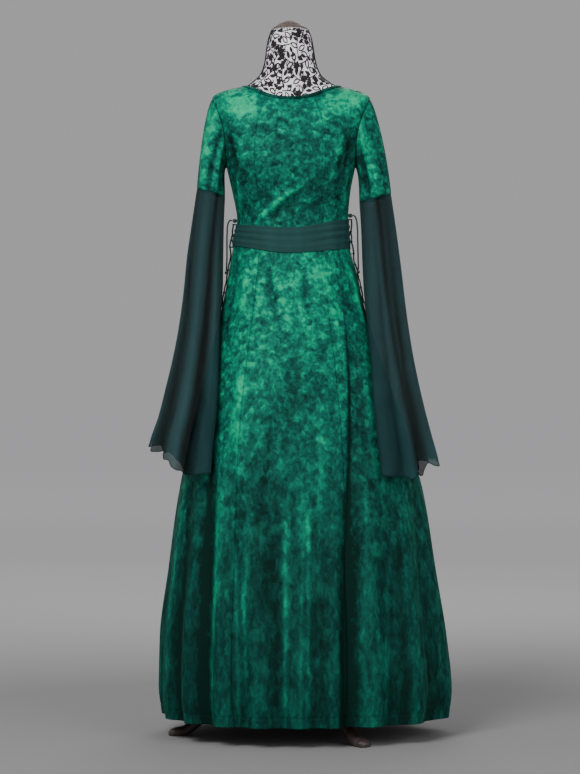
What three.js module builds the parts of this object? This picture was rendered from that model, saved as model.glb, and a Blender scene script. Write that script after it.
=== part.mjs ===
// Medieval gown of crushed velvet and chiffon, hanging on a limbless dress form with a tripod stand.
// Millimetres, +Z up. The front of the gown faces -Y, and the right of the photograph is +X.
// A turn is an angle about the pole in degrees: 0 at the front centre, 90 at +X, 180 at the back.
import * as THREE from 'three';
import { mergeVertices } from 'three/addons/utils/BufferGeometryUtils.js';

const VELVET = 1.8; // wall of the velvet panels and sleeves
const CHIFFON = 1.4; // wall of the bell sleeves and of the sash
const SEAM = 0.3; // gap between two pieces that are sewn together
const REST = 1.1; // gap between the gown and the form that fills it
const HEM = 46; // height of the hem above the floor
const UNDERARM = 1300;
const SHOULDER = 1460;
const NECKLINE = 1540;

const RAD = Math.PI / 180;

// Rings of the gown. run climbs the cloth, from the hem over the shoulders to the neckline.
// left, right, front and back are half sizes from the pole, and square is the superellipse power.
// side, ahead and behind are the ring's heights there, and fall shapes the way between them.
const GOWN_COLUMNS = ['run', 'left', 'right', 'front', 'back', 'square', 'side', 'ahead', 'behind', 'fall'];
const GOWN_ROWS = [
  [HEM, 288, 364, 256, 244, 2.1, HEM, HEM, HEM, 8],
  [110, 296, 371, 260, 248, 2.1, 110, 110, 110, 8],
  [220, 295, 361, 251, 240, 2.1, 220, 220, 220, 8],
  [380, 277, 335, 231, 222, 2.1, 380, 380, 380, 8],
  [540, 258, 309, 210, 203, 2.1, 540, 540, 540, 8],
  [700, 226, 266, 186, 182, 2.1, 700, 700, 700, 8],
  [860, 186, 210, 156, 154, 2.1, 860, 860, 860, 8],
  [1000, 152, 166, 124, 124, 2.1, 1000, 1000, 1000, 8],
  [1053, 142, 155, 113, 113, 2.1, 1053, 1053, 1053, 8],
  [1100, 134, 141, 104, 101, 2.1, 1100, 1100, 1100, 8],
  [1135, 128, 134, 98, 93, 2.1, 1135, 1135, 1135, 8],
  [1180, 122, 134, 98, 89, 2.1, 1180, 1180, 1180, 8],
  [1235, 131, 138, 109, 94, 2.2, 1235, 1235, 1235, 8],
  [UNDERARM, 146, 150, 119, 101, 2.3, 1300, 1300, 1300, 8],
  [1380, 164, 168, 112, 100, 2.3, 1380, 1357, 1368, 8],
  [SHOULDER, 179, 184, 97, 89, 2.3, 1459, 1408, 1432, 8],
  [1500, 140, 147, 86, 76, 2.2, 1480, 1434, 1466, 5],
  [NECKLINE, 101, 109, 72, 60, 2, 1487, 1455, 1494, 3],
];

// Largest folds of the skirt. They lie at hem at the bottom and lean to above where they run out, at top.
// A depth below zero is a valley.
const FOLD_COLUMNS = ['hem', 'above', 'width', 'depth', 'top'];
const FOLD_ROWS = [
  [-91, -91, 6, 8, 560],
  [-82, -83, 5.5, -10, 640],
  [-72, -75, 5.5, 9, 600],
  [-62, -67, 5.5, -12, 700],
  [-53, -60, 5, 11, 720],
  [-44, -55, 5, -17, 780],
  [-35, -46, 4.5, 10, 700],
  [-26, -34, 4.5, -9, 540],
  [-16, -21, 5, 8, 480],
  [-7, -10, 5, -8, 520],
  [3, 4, 5, 7, 440],
  [12, 16, 5, -8, 500],
  [20, 30, 4.5, 9, 620],
  [28, 60, 4.5, -21, 1010],
  [38, 62, 5, 11, 900],
  [47, 60, 5, -10, 640],
  [57, 68, 5, 12, 700],
  [67, 76, 5.5, -10, 640],
  [78, 84, 5.5, 9, 600],
  [89, 91, 6, -9, 560],
  [101, 101, 5.5, 10, 680],
  [112, 110, 5.5, -13, 760],
  [122, 119, 5.5, 10, 640],
  [133, 130, 5.5, -11, 600],
  [144, 140, 5.5, 10, 700],
  [155, 150, 5.5, -15, 860],
  [166, 162, 5.5, 10, 720],
  [178, 176, 6, -10, 560],
  [190, 192, 6, 9, 600],
  [202, 207, 5.5, -14, 820],
  [213, 219, 5.5, 11, 700],
  [224, 230, 5.5, -11, 620],
  [235, 239, 5.5, 10, 660],
  [246, 248, 5.5, -12, 740],
  [257, 258, 6, 9, 620],
];

// Cut of the panels: how far the long seams stand from the front and back centre.
const SEAM_TURN_TOP = 38;
const SEAM_TURN_HEM = 28;
const CENTRE_STEPS = 12;
const SIDE_STEPS = 11;
const ARM_TURN = 19.5; // half the armhole, seen from above
const ARM_STEP = 22.5; // step of the rows round the armhole
const ARM_EASE = 0.35; // how far the sleeve head lies inside the armhole

// Sleeves, one table for each: height, outer and inner side from the pole, middle and half of the depth.
const SLEEVE_COLUMNS = ['z', 'outer', 'inner', 'middle', 'depth'];
const SLEEVES = [
  {
    name: 'left',
    side: -1,
    seamOuter: 1249,
    seamInner: 1233,
    rows: [
      [590, 318, 172, -112, 80],
      [674, 307, 166, -104, 77],
      [731, 290, 160, -97, 81],
      [796, 275, 157, -81, 78],
      [862, 261, 156, -63, 74],
      [929, 250, 155, -44, 70],
      [1007, 241, 154, -25, 65],
      [1096, 234, 153, -12, 60],
      [1160, 226, 152, -6, 57],
      [1260, 213, 148, 0, 56],
    ],
    hem: [[0, 606], [45, 603], [75, 600], [100, 618], [130, 642], [180, 670], [225, 652], [270, 622], [320, 608]],
    folds: [[40, 15, 9], [72, 14, -15], [106, 14, 10], [140, 14, -10], [180, 16, 8], [222, 15, -11], [262, 15, 10],
      [300, 14, -9], [336, 14, 6]],
  },
  {
    name: 'right',
    side: 1,
    seamOuter: 1235,
    seamInner: 1219,
    rows: [
      [580, 331, 196, -118, 82],
      [635, 325, 192, -112, 80],
      [686, 314, 187, -106, 81],
      [743, 302, 182, -94, 78],
      [796, 291, 178, -79, 73],
      [876, 277, 175, -56, 66],
      [987, 262, 170, -28, 61],
      [1074, 253, 166, -14, 58],
      [1160, 243, 163, -6, 57],
      [1250, 231, 157, 0, 56],
    ],
    hem: [[0, 604], [45, 598], [90, 596], [120, 602], [145, 620], [180, 640], [225, 632], [270, 612], [320, 604]],
    folds: [[36, 14, 8], [68, 14, -10], [100, 14, 12], [128, 13, -14], [160, 15, 9], [196, 15, -9], [232, 15, 10],
      [272, 15, -10], [312, 15, 8]],
  },
];
const CAP_STEPS = [0, 0.07, 0.18, 0.33, 0.5, 0.67, 0.84, 1];
const BELL_AROUND = 32;
const BELL_STEPS = [0, 0.06, 0.15, 0.25, 0.36, 0.47, 0.58, 0.69, 0.8, 0.9, 1];
const BELL_CLEAR = 8; // between the skirt and the sleeve that lies against it

// Sash: its lower and upper edge at a turn, and its soft folds from edge to edge.
const SASH_EDGES = [[-180, 1106, 1164], [-90, 1119, 1167], [0, 1099, 1157], [90, 1112, 1181], [180, 1106, 1164]];
const SASH_FOLDS = [0.6, 3.6, 2, 0.6];
// Its tails leave the knot narrow, near the back centre, and spread over the first steps down.
const SASH_TAIL = { width: 52, narrow: 17, near: 5.6, far: 15, spread: 3, gap: 4.5, top: 1117.3, ends: [700, 650] };
const SASH_KNOT = { wide: 21, deep: 12, tall: 24, x: 0, z: 1134, out: 6.6 };

// Laces down the side seams and the free end of each, tied off above the sash.
const LACE = 4;
const LACE_SWING = 6;
const LACE_BOTTOM = 944;
const LACE_STEP = 26;
const LACE_LIFT = 0.8; // lace above the velvet
const LACE_LIFT_SASH = 5.8; // lace above the velvet where it crosses the sash
const TIES = [
  {
    name: 'left',
    side: -1,
    knot: [-126.6, -16, 1177],
    route: [
      [-132.5, -16, 1177.5], [-137, -16.5, 1178], [-141, -17.5, 1173], [-143.5, -18, 1163], [-144, -18, 1150],
      [-144.5, -18, 1140], [-144.5, -18, 1128], [-144.5, -18, 1116], [-144.5, -18, 1104], [-144.5, -18, 1092],
      [-145, -18, 1080], [-145.5, -18, 1070], [-146, -18, 1062],
    ],
  },
  {
    name: 'right',
    side: 1,
    knot: [138.6, -16, 1189],
    route: [
      [145, -16, 1190], [149, -17, 1187], [152, -18, 1180], [153.5, -18, 1171], [154.5, -18, 1160],
      [155, -18, 1148], [155, -18, 1136], [155.5, -18, 1124], [155.5, -18, 1112], [156, -18, 1100],
      [156, -18, 1088], [156.5, -18, 1076], [156.5, -18, 1064],
    ],
  },
];
const KNOT = { wide: 5.5, deep: 5.5, tall: 5 };
const TIE_END = 4;

// Dress form: its rings below the gown's waist and above its neckline, in the gown's columns.
const FORM_FOOT = 862;
const FORM_TOP = 1040; // above this the form follows the gown
const FORM_HIP_ROWS = [
  [FORM_FOOT, 118, 122, 90, 96, 2.1, FORM_FOOT, FORM_FOOT, FORM_FOOT, 8],
  [870, 134, 138, 104, 110, 2.1, 870, 870, 870, 8],
  [900, 141, 146, 111, 117, 2.1, 900, 900, 900, 8],
  [960, 142, 148, 112, 118, 2.1, 960, 960, 960, 8],
  [1010, 140, 148, 112, 114, 2.1, 1010, 1010, 1010, 8],
];
const NECK_ROWS = [
  [1560, 86, 90, 60, 52, 2, 1495, 1476, 1509, 3],
  [1585, 66, 68, 52, 48, 2, 1515, 1504, 1526, 3],
  [1612, 56, 57, 48, 46, 2, 1545, 1539, 1551, 3],
  [1640, 52, 52, 45, 44, 2, 1576, 1574, 1578, 3],
  [1664, 47, 47, 41, 40, 2, 1600, 1600, 1600, 3],
  [1682, 40, 40, 35, 34, 2, 1618, 1618, 1618, 3],
];
const FORM_BESIDE = [45, 90, 135]; // places round the armhole whose rows the form has too
const CAP_ROWS = [[0, 40.5], [3, 39.5], [7.5, 33], [12, 26.5], [17, 17], [20, 9.5], [21.5, 0]]; // height and radius of the neck cap
const CAP_DEPTH = 0.87; // the cap is shallower than it is wide

// Stand: a pole and three curved legs, each row the way out, height, half width and half height.
const POLE_RADIUS = 14;
const HUB = { radius: 27, low: 96, high: 178 };
const LEG_TURNS = { front: 37.4, left: -82.6, back: 157.4 };
const LEG_ROWS = [
  [27.5, 142, 13, 17],
  [60, 146, 13, 16],
  [105, 128, 13, 15],
  [150, 92, 12, 14],
  [190, 54, 12, 12],
  [222, 24, 13, 12],
  [246, 9, 16, 12],
  [268, 7, 17, 10],
  [280, 5, 11, 7],
];
const LEG_SIDES = 10;

const MATERIALS = {
  velvet: new THREE.MeshStandardMaterial({ color: 0x14704f, roughness: 0.62, metalness: 0 }),
  chiffon: new THREE.MeshStandardMaterial({ color: 0x20403d, roughness: 0.85, metalness: 0 }),
  sash: new THREE.MeshStandardMaterial({ color: 0x27443f, roughness: 0.85, metalness: 0 }),
  binding: new THREE.MeshStandardMaterial({ color: 0x0e4a38, roughness: 0.7, metalness: 0 }),
  lace: new THREE.MeshStandardMaterial({ color: 0x1a2c29, roughness: 0.8, metalness: 0 }),
  cover: new THREE.MeshStandardMaterial({ color: 0xd9d4da, roughness: 0.8, metalness: 0 }),
  cap: new THREE.MeshStandardMaterial({ color: 0x6a5e5c, roughness: 0.6, metalness: 0 }),
  stand: new THREE.MeshStandardMaterial({ color: 0x3c3232, roughness: 0.5, metalness: 0 }),
};

// A table's rows as objects with named columns.
function named(columns, rows) {
  return rows.map((row) => Object.fromEntries(columns.map((column, index) => [column, row[index]])));
}

// A smooth reading of a table that never swings past its rows: a monotone cubic through each column.
function reader(table, key) {
  const columns = Object.keys(table[0]).filter((column) => column !== key);
  const keys = table.map((row) => row[key]);
  const last = keys.length - 1;
  const slopes = {};
  for (const column of columns) {
    const steps = [];
    for (let i = 0; i < last; i += 1) {
      steps.push((table[i + 1][column] - table[i][column]) / (keys[i + 1] - keys[i]));
    }
    slopes[column] = table.map((row, i) => {
      if (i === 0) return steps[0];
      if (i === last) return steps[last - 1];
      const product = steps[i - 1] * steps[i];
      return product <= 0 ? 0 : (2 * product) / (steps[i - 1] + steps[i]);
    });
  }
  return (at) => {
    let i = 0;
    while (i < last - 1 && at > keys[i + 1]) i += 1;
    const span = keys[i + 1] - keys[i];
    const t = (at - keys[i]) / span;
    const result = {};
    for (const column of columns) {
      const from = table[i][column];
      const to = table[i + 1][column];
      const rise = slopes[column][i] * span;
      const land = slopes[column][i + 1] * span;
      if (t < 0) result[column] = from + rise * t;
      else if (t > 1) result[column] = to + land * (t - 1);
      else {
        const a = 2 * t ** 3 - 3 * t ** 2 + 1;
        const b = t ** 3 - 2 * t ** 2 + t;
        const c = 3 * t ** 2 - 2 * t ** 3;
        const d = t ** 3 - t ** 2;
        result[column] = a * from + b * rise + c * to + d * land;
      }
    }
    return result;
  };
}

const gownRing = reader(named(GOWN_COLUMNS, GOWN_ROWS), 'run');
const folds = named(FOLD_COLUMNS, FOLD_ROWS);

// Angle between two turns, from -180 to 180.
function apart(turn, other) {
  return ((((turn - other) % 360) + 540) % 360) - 180;
}

// A ring's point at a turn, moved out from the pole by extra.
function ringPoint(ring, turn, extra = 0) {
  const angle = (turn - 90) * RAD;
  const across = Math.cos(angle);
  const along = Math.sin(angle);
  const wide = across < 0 ? ring.left : ring.right;
  const deep = along < 0 ? ring.front : ring.back;
  const sum = (Math.abs(across) / wide) ** ring.square + (Math.abs(along) / deep) ** ring.square;
  const radius = sum ** (-1 / ring.square) + extra;
  const end = along < 0 ? ring.ahead : ring.behind;
  const z = ring.side + (end - ring.side) * (1 - Math.abs(across) ** ring.fall);
  return new THREE.Vector3(radius * across, radius * along, z);
}

// How far the skirt's folds move the cloth out at a turn and height.
function foldDepth(turn, run) {
  let sum = 0;
  for (const fold of folds) {
    if (run >= fold.top) continue;
    const climb = (run - HEM) / (fold.top - HEM);
    const middle = fold.hem + (fold.above - fold.hem) * climb ** 2;
    const off = apart(turn, middle) / fold.width;
    sum += fold.depth * (1 - climb) ** 0.8 * Math.exp(-off * off);
  }
  return sum;
}

function bodyPoint(turn, run) {
  return ringPoint(gownRing(run), turn);
}

function gownPoint(turn, run) {
  return ringPoint(gownRing(run), turn, foldDepth(turn, run));
}

// Outward direction of a surface, from two small steps each way.
function outward(surface, u, v, stepU, stepV, sense = 1) {
  const du = surface(u + stepU, v).sub(surface(u - stepU, v));
  const dv = surface(u, v + stepV).sub(surface(u, v - stepV));
  return du.cross(dv).normalize().multiplyScalar(sense);
}

function gownOut(turn, run) {
  return outward(gownPoint, turn, run, 0.5, 1);
}


// Geometry of a closed mesh with its faces turned outwards.
function closed(geometry) {
  const bare = geometry.clone();
  bare.deleteAttribute('normal');
  bare.deleteAttribute('uv');
  const merged = mergeVertices(bare, 1e-3);
  const spots = merged.getAttribute('position');
  const index = merged.getIndex();
  const faces = [];
  let volume = 0;
  const a = new THREE.Vector3();
  const b = new THREE.Vector3();
  const c = new THREE.Vector3();
  for (let i = 0; i < index.count; i += 3) {
    const corners = [index.getX(i), index.getX(i + 1), index.getX(i + 2)];
    if (corners[0] === corners[1] || corners[1] === corners[2] || corners[2] === corners[0]) continue;
    faces.push(corners);
    a.fromBufferAttribute(spots, corners[0]);
    b.fromBufferAttribute(spots, corners[1]);
    c.fromBufferAttribute(spots, corners[2]);
    volume += a.dot(b.cross(c));
  }
  merged.setIndex(faces.flatMap(([p, q, r]) => (volume < 0 ? [p, r, q] : [p, q, r])));
  merged.computeVertexNormals();
  return merged;
}

function fromFaces(points, faces) {
  const geometry = new THREE.BufferGeometry();
  const flat = points.flatMap((point) => [point.x, point.y, point.z]);
  geometry.setAttribute('position', new THREE.Float32BufferAttribute(flat, 3));
  geometry.setIndex(faces.flat());
  return closed(geometry);
}

// A cloth wall: rows of outer points, each with its outward direction, and an inner skin thick behind them.
function clothWall(rows, thick, around) {
  const count = rows[0].length;
  const points = rows.flat().flatMap(({ at, out }) => [at, at.clone().addScaledVector(out, -thick)]);
  const outer = (row, column) => 2 * (row * count + (column % count));
  const inner = (row, column) => outer(row, column) + 1;
  const faces = [];
  const quad = (a, b, c, d) => faces.push([a, b, c], [a, c, d]);
  const columns = around ? count : count - 1;
  const top = rows.length - 1;
  for (let column = 0; column < columns; column += 1) {
    for (let row = 0; row < top; row += 1) {
      quad(outer(row, column), outer(row, column + 1), outer(row + 1, column + 1), outer(row + 1, column));
      quad(inner(row, column), inner(row + 1, column), inner(row + 1, column + 1), inner(row, column + 1));
    }
    quad(outer(0, column + 1), outer(0, column), inner(0, column), inner(0, column + 1));
    quad(outer(top, column), outer(top, column + 1), inner(top, column + 1), inner(top, column));
  }
  if (!around) {
    for (let row = 0; row < top; row += 1) {
      quad(outer(row + 1, 0), inner(row + 1, 0), inner(row, 0), outer(row, 0));
      quad(outer(row + 1, count - 1), outer(row, count - 1), inner(row, count - 1), inner(row + 1, count - 1));
    }
  }
  return fromFaces(points, faces);
}

// A filled solid through closed rings of points, with a flat or pointed cap at each end.
function skinned(rings) {
  const count = rings[0].length;
  const points = rings.flat();
  const faces = [];
  for (let row = 0; row < rings.length - 1; row += 1) {
    for (let column = 0; column < count; column += 1) {
      const next = (column + 1) % count;
      const low = row * count;
      const high = low + count;
      faces.push([low + column, low + next, high + next], [low + column, high + next, high + column]);
    }
  }
  for (const [ring, flip] of [[0, true], [rings.length - 1, false]]) {
    const middle = new THREE.Vector3();
    for (const point of rings[ring]) middle.addScaledVector(point, 1 / count);
    const centre = points.push(middle) - 1;
    for (let column = 0; column < count; column += 1) {
      const here = ring * count + column;
      const next = ring * count + ((column + 1) % count);
      faces.push(flip ? [centre, next, here] : [centre, here, next]);
    }
  }
  return fromFaces(points, faces);
}

const gown = new THREE.Group();
gown.name = 'gown_on_form';

function add(name, geometry, material) {
  const mesh = new THREE.Mesh(geometry, material);
  mesh.name = name;
  gown.add(mesh);
}

// Turn of a long seam at a height: it narrows from the waist to the hem, where the skirt is widest.
function seamTurn(run) {
  const climb = Math.min(1, Math.max(0, (run - HEM) / (GOWN_ROWS[9][0] - HEM)));
  return SEAM_TURN_HEM + (SEAM_TURN_TOP - SEAM_TURN_HEM) * climb;
}

// Rows of every panel. Those beside the armhole carry their place t round it.
function panelRows() {
  const below = GOWN_ROWS.map((row) => ({ run: row[0], t: 0 })).filter((row) => row.run <= UNDERARM);
  const beside = [];
  const middle = (UNDERARM + SHOULDER) / 2;
  const half = (SHOULDER - UNDERARM) / 2;
  for (let t = ARM_STEP; t <= 180; t += ARM_STEP) beside.push({ run: middle - half * Math.cos(t * RAD), t });
  return [...below, ...beside, { run: 1500, t: 180 }, { run: NECKLINE, t: 180 }];
}

const ROWS = panelRows();

// A point of the gown's faceted wall, moved out along the cloth, for what lies on a panel.
function onGown(turn, run, lift) {
  let i = 0;
  while (i < ROWS.length - 2 && run > ROWS[i + 1].run) i += 1;
  const low = ROWS[i].run;
  const mix = (run - low) / (ROWS[i + 1].run - low);
  return gownPoint(turn, low).lerp(gownPoint(turn, ROWS[i + 1].run), mix)
    .addScaledVector(gownOut(turn, run), lift);
}

// One panel between two edges, each a function of the row that gives a turn.
function panel(fromEdge, toEdge, steps) {
  const rows = ROWS.map((row) => {
    const from = fromEdge(row);
    const to = toEdge(row);
    const reach = gownPoint(from, row.run);
    const inset = SEAM / 2 / (Math.hypot(reach.x, reach.y) * RAD);
    const points = [];
    for (let step = 0; step <= steps; step += 1) {
      const turn = from + inset + (to - from - 2 * inset) * (step / steps);
      points.push({ at: gownPoint(turn, row.run), out: gownOut(turn, row.run) });
    }
    return points;
  });
  return clothWall(rows, VELVET, false);
}

// The four edges of the cut: long seams and side edges with their half of the armhole.
const armInset = (row) => ARM_TURN * Math.sin(row.t * RAD);
const EDGES = {
  frontLeft: (row) => -seamTurn(row.run),
  frontRight: (row) => seamTurn(row.run),
  sideRightFront: (row) => 90 - armInset(row),
  sideRightBack: (row) => 90 + armInset(row),
  backRight: (row) => 180 - seamTurn(row.run),
  backLeft: (row) => 180 + seamTurn(row.run),
  sideLeftBack: (row) => 270 - armInset(row),
  sideLeftFront: (row) => -90 + armInset(row),
  frontLeftRound: (row) => 360 - seamTurn(row.run),
};

function makePanels() {
  add('front_centre', panel(EDGES.frontLeft, EDGES.frontRight, CENTRE_STEPS), MATERIALS.velvet);
  add('front_side_right', panel(EDGES.frontRight, EDGES.sideRightFront, SIDE_STEPS), MATERIALS.velvet);
  add('back_side_right', panel(EDGES.sideRightBack, EDGES.backRight, SIDE_STEPS), MATERIALS.velvet);
  add('back_centre', panel(EDGES.backRight, EDGES.backLeft, CENTRE_STEPS), MATERIALS.velvet);
  add('back_side_left', panel(EDGES.backLeft, EDGES.sideLeftBack, SIDE_STEPS), MATERIALS.velvet);
  add('front_side_left', panel(EDGES.sideLeftFront, EDGES.frontLeft, SIDE_STEPS), MATERIALS.velvet);
}

// Turns of all panel columns at the waist, so that what lies on the panels has their facets.
function waistTurns() {
  const stops = [[-38, CENTRE_STEPS], [38, SIDE_STEPS], [90, SIDE_STEPS], [142, CENTRE_STEPS], [218, SIDE_STEPS],
    [270, SIDE_STEPS], [322, 0]];
  const turns = [];
  for (let i = 0; i < stops.length - 1; i += 1) {
    const [from, steps] = stops[i];
    const to = stops[i + 1][0];
    for (let step = 0; step < steps; step += 1) turns.push(from + ((to - from) * step) / steps);
  }
  return turns;
}

// The neck binding is a narrow band on the neckline's edge.
function makeBinding() {
  const rows = [1531, 1541].map((run) => waistTurns().map((turn) => {
    const out = outward(bodyPoint, turn, run, 0.5, 1);
    return { at: bodyPoint(turn, run).addScaledVector(out, SEAM + CHIFFON), out };
  }));
  add('neck_binding', clothWall(rows, CHIFFON, true), MATERIALS.binding);
}

// Height of a closed table of places and heights at a place t, eased between its rows.
function aroundHeight(rows, t) {
  const place = ((t % 360) + 360) % 360;
  const looped = [...rows, [360 + rows[0][0], rows[0][1]]];
  for (let i = 0; i < looped.length - 1; i += 1) {
    const [from, low] = looped[i];
    const [to, high] = looped[i + 1];
    if (place >= from && place <= to) {
      const mix = (1 - Math.cos((Math.PI * (place - from)) / (to - from))) / 2;
      return low + (high - low) * mix;
    }
  }
  return rows[0][1];
}

// A bell sleeve as a surface: t goes round it from the body over the front to the outside, and drop
// goes from the seam at 0 to the hem at 1. Folds grow with the drop, and the skirt holds it off.
function bellSurface(sleeve) {
  const size = reader(named(SLEEVE_COLUMNS, sleeve.rows), 'z');
  return (t, drop) => {
    const inwards = (1 + Math.cos(t * RAD)) / 2;
    const top = sleeve.seamOuter + (sleeve.seamInner - sleeve.seamOuter) * inwards;
    const z = top + (aroundHeight(sleeve.hem, t) - top) * drop;
    const ring = size(z);
    let fold = 0;
    for (const [place, width, depth] of sleeve.folds) {
      const off = apart(t, place) / width;
      fold += depth * Math.exp(-off * off);
    }
    fold *= Math.max(0, drop) ** 0.9;
    const middle = (ring.outer + ring.inner) / 2;
    const half = (ring.outer - ring.inner) / 2;
    const x = sleeve.side * (middle - (half + fold) * Math.cos(t * RAD));
    const y = ring.middle - (ring.depth + fold) * Math.sin(t * RAD);
    const turn = Math.atan2(y, x) / RAD + 90;
    const skirt = gownPoint(turn, z);
    const least = Math.hypot(skirt.x, skirt.y) + BELL_CLEAR;
    const reach = Math.hypot(x, y);
    const grow = Math.max(1, least / reach);
    return new THREE.Vector3(x * grow, y * grow, z);
  };
}

// A velvet sleeve: each line runs from the armhole's edge out and down to the seam of the bell.
function capSurface(sleeve, bell) {
  const middle = (UNDERARM + SHOULDER) / 2;
  const half = (SHOULDER - UNDERARM) / 2 - ARM_EASE;
  const reach = ARM_TURN - ARM_EASE / (165 * RAD);
  return (t, way) => {
    const over = (1 - Math.cos(t * RAD)) / 2;
    const turn = sleeve.side * (90 - reach * Math.sin(t * RAD));
    const run = middle - half * Math.cos(t * RAD);
    const from = bodyPoint(turn, run).addScaledVector(outward(bodyPoint, turn, run, 0.5, 1), -1);
    const to = bell(t, 0);
    to.z += SEAM;
    const leave = from.clone().add(new THREE.Vector3(sleeve.side * (8 + 9 * over), 0, -22 * over));
    const land = to.clone().add(new THREE.Vector3(-sleeve.side * 6 * over, 0, 30 + 50 * over));
    const rest = 1 - way;
    return from.multiplyScalar(rest ** 3)
      .addScaledVector(leave, 3 * rest ** 2 * way)
      .addScaledVector(land, 3 * rest * way ** 2)
      .addScaledVector(to, way ** 3);
  };
}

function tube(surface, places, steps, thick, sense) {
  const rows = steps.map((step) => places.map((t) => ({
    at: surface(t, step),
    out: outward(surface, t, step, 1, 0.004, sense),
  })));
  return clothWall(rows, thick, true);
}

function makeSleeves() {
  const capPlaces = Array.from({ length: 360 / ARM_STEP }, (_, i) => i * ARM_STEP);
  const bellPlaces = Array.from({ length: BELL_AROUND }, (_, i) => (i * 360) / BELL_AROUND);
  for (const sleeve of SLEEVES) {
    const bell = bellSurface(sleeve);
    const cap = capSurface(sleeve, bell);
    const capWall = tube(cap, capPlaces, CAP_STEPS, VELVET, -sleeve.side);
    const bellWall = tube(bell, bellPlaces, BELL_STEPS, CHIFFON, -sleeve.side);
    add(`velvet_sleeve_${sleeve.name}`, capWall, MATERIALS.velvet);
    add(`bell_sleeve_${sleeve.name}`, bellWall, MATERIALS.chiffon);
  }
}

// Lower or upper edge of the sash at a turn.
function sashEdge(turn, column) {
  const place = apart(turn, 0);
  for (let i = 0; i < SASH_EDGES.length - 1; i += 1) {
    const from = SASH_EDGES[i];
    const to = SASH_EDGES[i + 1];
    if (place >= from[0] && place <= to[0]) {
      const mix = (1 - Math.cos((Math.PI * (place - from[0])) / (to[0] - from[0]))) / 2;
      return from[column] + (to[column] - from[column]) * mix;
    }
  }
  return SASH_EDGES[0][column];
}

// The sash: the gown's own points at the waist, moved out in soft folds, with a knot and tails behind.
function makeSash() {
  const rows = SASH_FOLDS.map((lift, index) => waistTurns().map((turn) => {
    const low = sashEdge(turn, 1);
    const run = low + ((sashEdge(turn, 2) - low) * index) / (SASH_FOLDS.length - 1);
    return { at: onGown(turn, run, lift + CHIFFON), out: gownOut(turn, run) };
  }));
  add('sash', clothWall(rows, CHIFFON, true), MATERIALS.sash);
}

// A tail of the sash: a strip that leaves the knot narrow and hangs down the back of the skirt.
function tail(name, sense, low) {
  const across = 5;
  const down = 9;
  const rows = Array.from({ length: down + 1 }, (_, i) => {
    const run = SASH_TAIL.top + ((low - SASH_TAIL.top) * i) / down;
    const spread = Math.min(1, i / SASH_TAIL.spread);
    const turn = 180 - sense * (SASH_TAIL.near + (SASH_TAIL.far - SASH_TAIL.near) * spread);
    const width = SASH_TAIL.narrow + (SASH_TAIL.width - SASH_TAIL.narrow) * spread;
    const reach = bodyPoint(turn, run);
    const half = width / 2 / (Math.hypot(reach.x, reach.y) * RAD);
    return Array.from({ length: across }, (unused, j) => {
      const place = turn + half * ((2 * j) / (across - 1) - 1);
      const out = outward(bodyPoint, place, run, 0.5, 1);
      const lift = SASH_TAIL.gap + CHIFFON + Math.max(foldDepth(place, run), 0);
      return { at: bodyPoint(place, run).addScaledVector(out, lift), out };
    });
  });
  add(name, clothWall(rows, CHIFFON, false), MATERIALS.sash);
}

function makeTails() {
  tail('sash_tail_right', 1, SASH_TAIL.ends[0]);
  tail('sash_tail_left', -1, SASH_TAIL.ends[1]);
  const knot = closed(new THREE.SphereGeometry(1, 12, 8));
  knot.scale(SASH_KNOT.wide, SASH_KNOT.deep, SASH_KNOT.tall);
  const back = gownPoint(180, SASH_KNOT.z);
  knot.translate(SASH_KNOT.x, back.y + SASH_KNOT.out + SASH_KNOT.deep, SASH_KNOT.z);
  add('sash_knot', knot, MATERIALS.sash);
}

// A round cord along a smooth curve through its points.
function cord(points, diameter, steps) {
  const path = new THREE.CatmullRomCurve3(points, false, 'centripetal');
  const section = new THREE.Shape();
  section.absarc(0, 0, diameter / 2, 0, 2 * Math.PI, false);
  return closed(new THREE.ExtrudeGeometry(section, { steps, extrudePath: path, curveSegments: 4 }));
}

function bead(wide, deep, tall, x, y, z) {
  const geometry = closed(new THREE.SphereGeometry(1, 8, 6));
  geometry.scale(wide, deep, tall);
  geometry.translate(x, y, z);
  return geometry;
}

// How far the lace stands off the gown: over the sash where it crosses it.
function laceLift(turn, run) {
  const overSash = run > sashEdge(turn, 1) - LACE_STEP / 2;
  return (overSash ? LACE_LIFT_SASH : LACE_LIFT) + LACE / 2;
}

// The lace swings from edge to edge down the side seam. Its free end leaves the knot above the sash.
function makeLaces() {
  for (const tie of TIES) {
    const [x, y, z] = tie.knot;
    const swings = [-1, 0, 1, 0];
    const points = [];
    for (let run = z - KNOT.tall - LACE; run >= LACE_BOTTOM; run -= LACE_STEP / 2) {
      const turn = tie.side * (90 + LACE_SWING * swings[points.length % swings.length]);
      points.push(onGown(turn, run, laceLift(turn, run)));
    }
    add(`lacing_${tie.name}`, cord(points, LACE, Math.round(points.length * 1.5)), MATERIALS.lace);
    add(`lace_knot_${tie.name}`, bead(KNOT.wide, KNOT.deep, KNOT.tall, x, y, z), MATERIALS.lace);
    const route = tie.route.map((point) => new THREE.Vector3(...point));
    add(`tie_${tie.name}`, cord(route, LACE, 14), MATERIALS.lace);
    const end = route[route.length - 1];
    add(`tie_end_${tie.name}`, bead(TIE_END, TIE_END, TIE_END, end.x, end.y, end.z - SEAM - TIE_END),
      MATERIALS.lace);
  }
}

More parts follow.
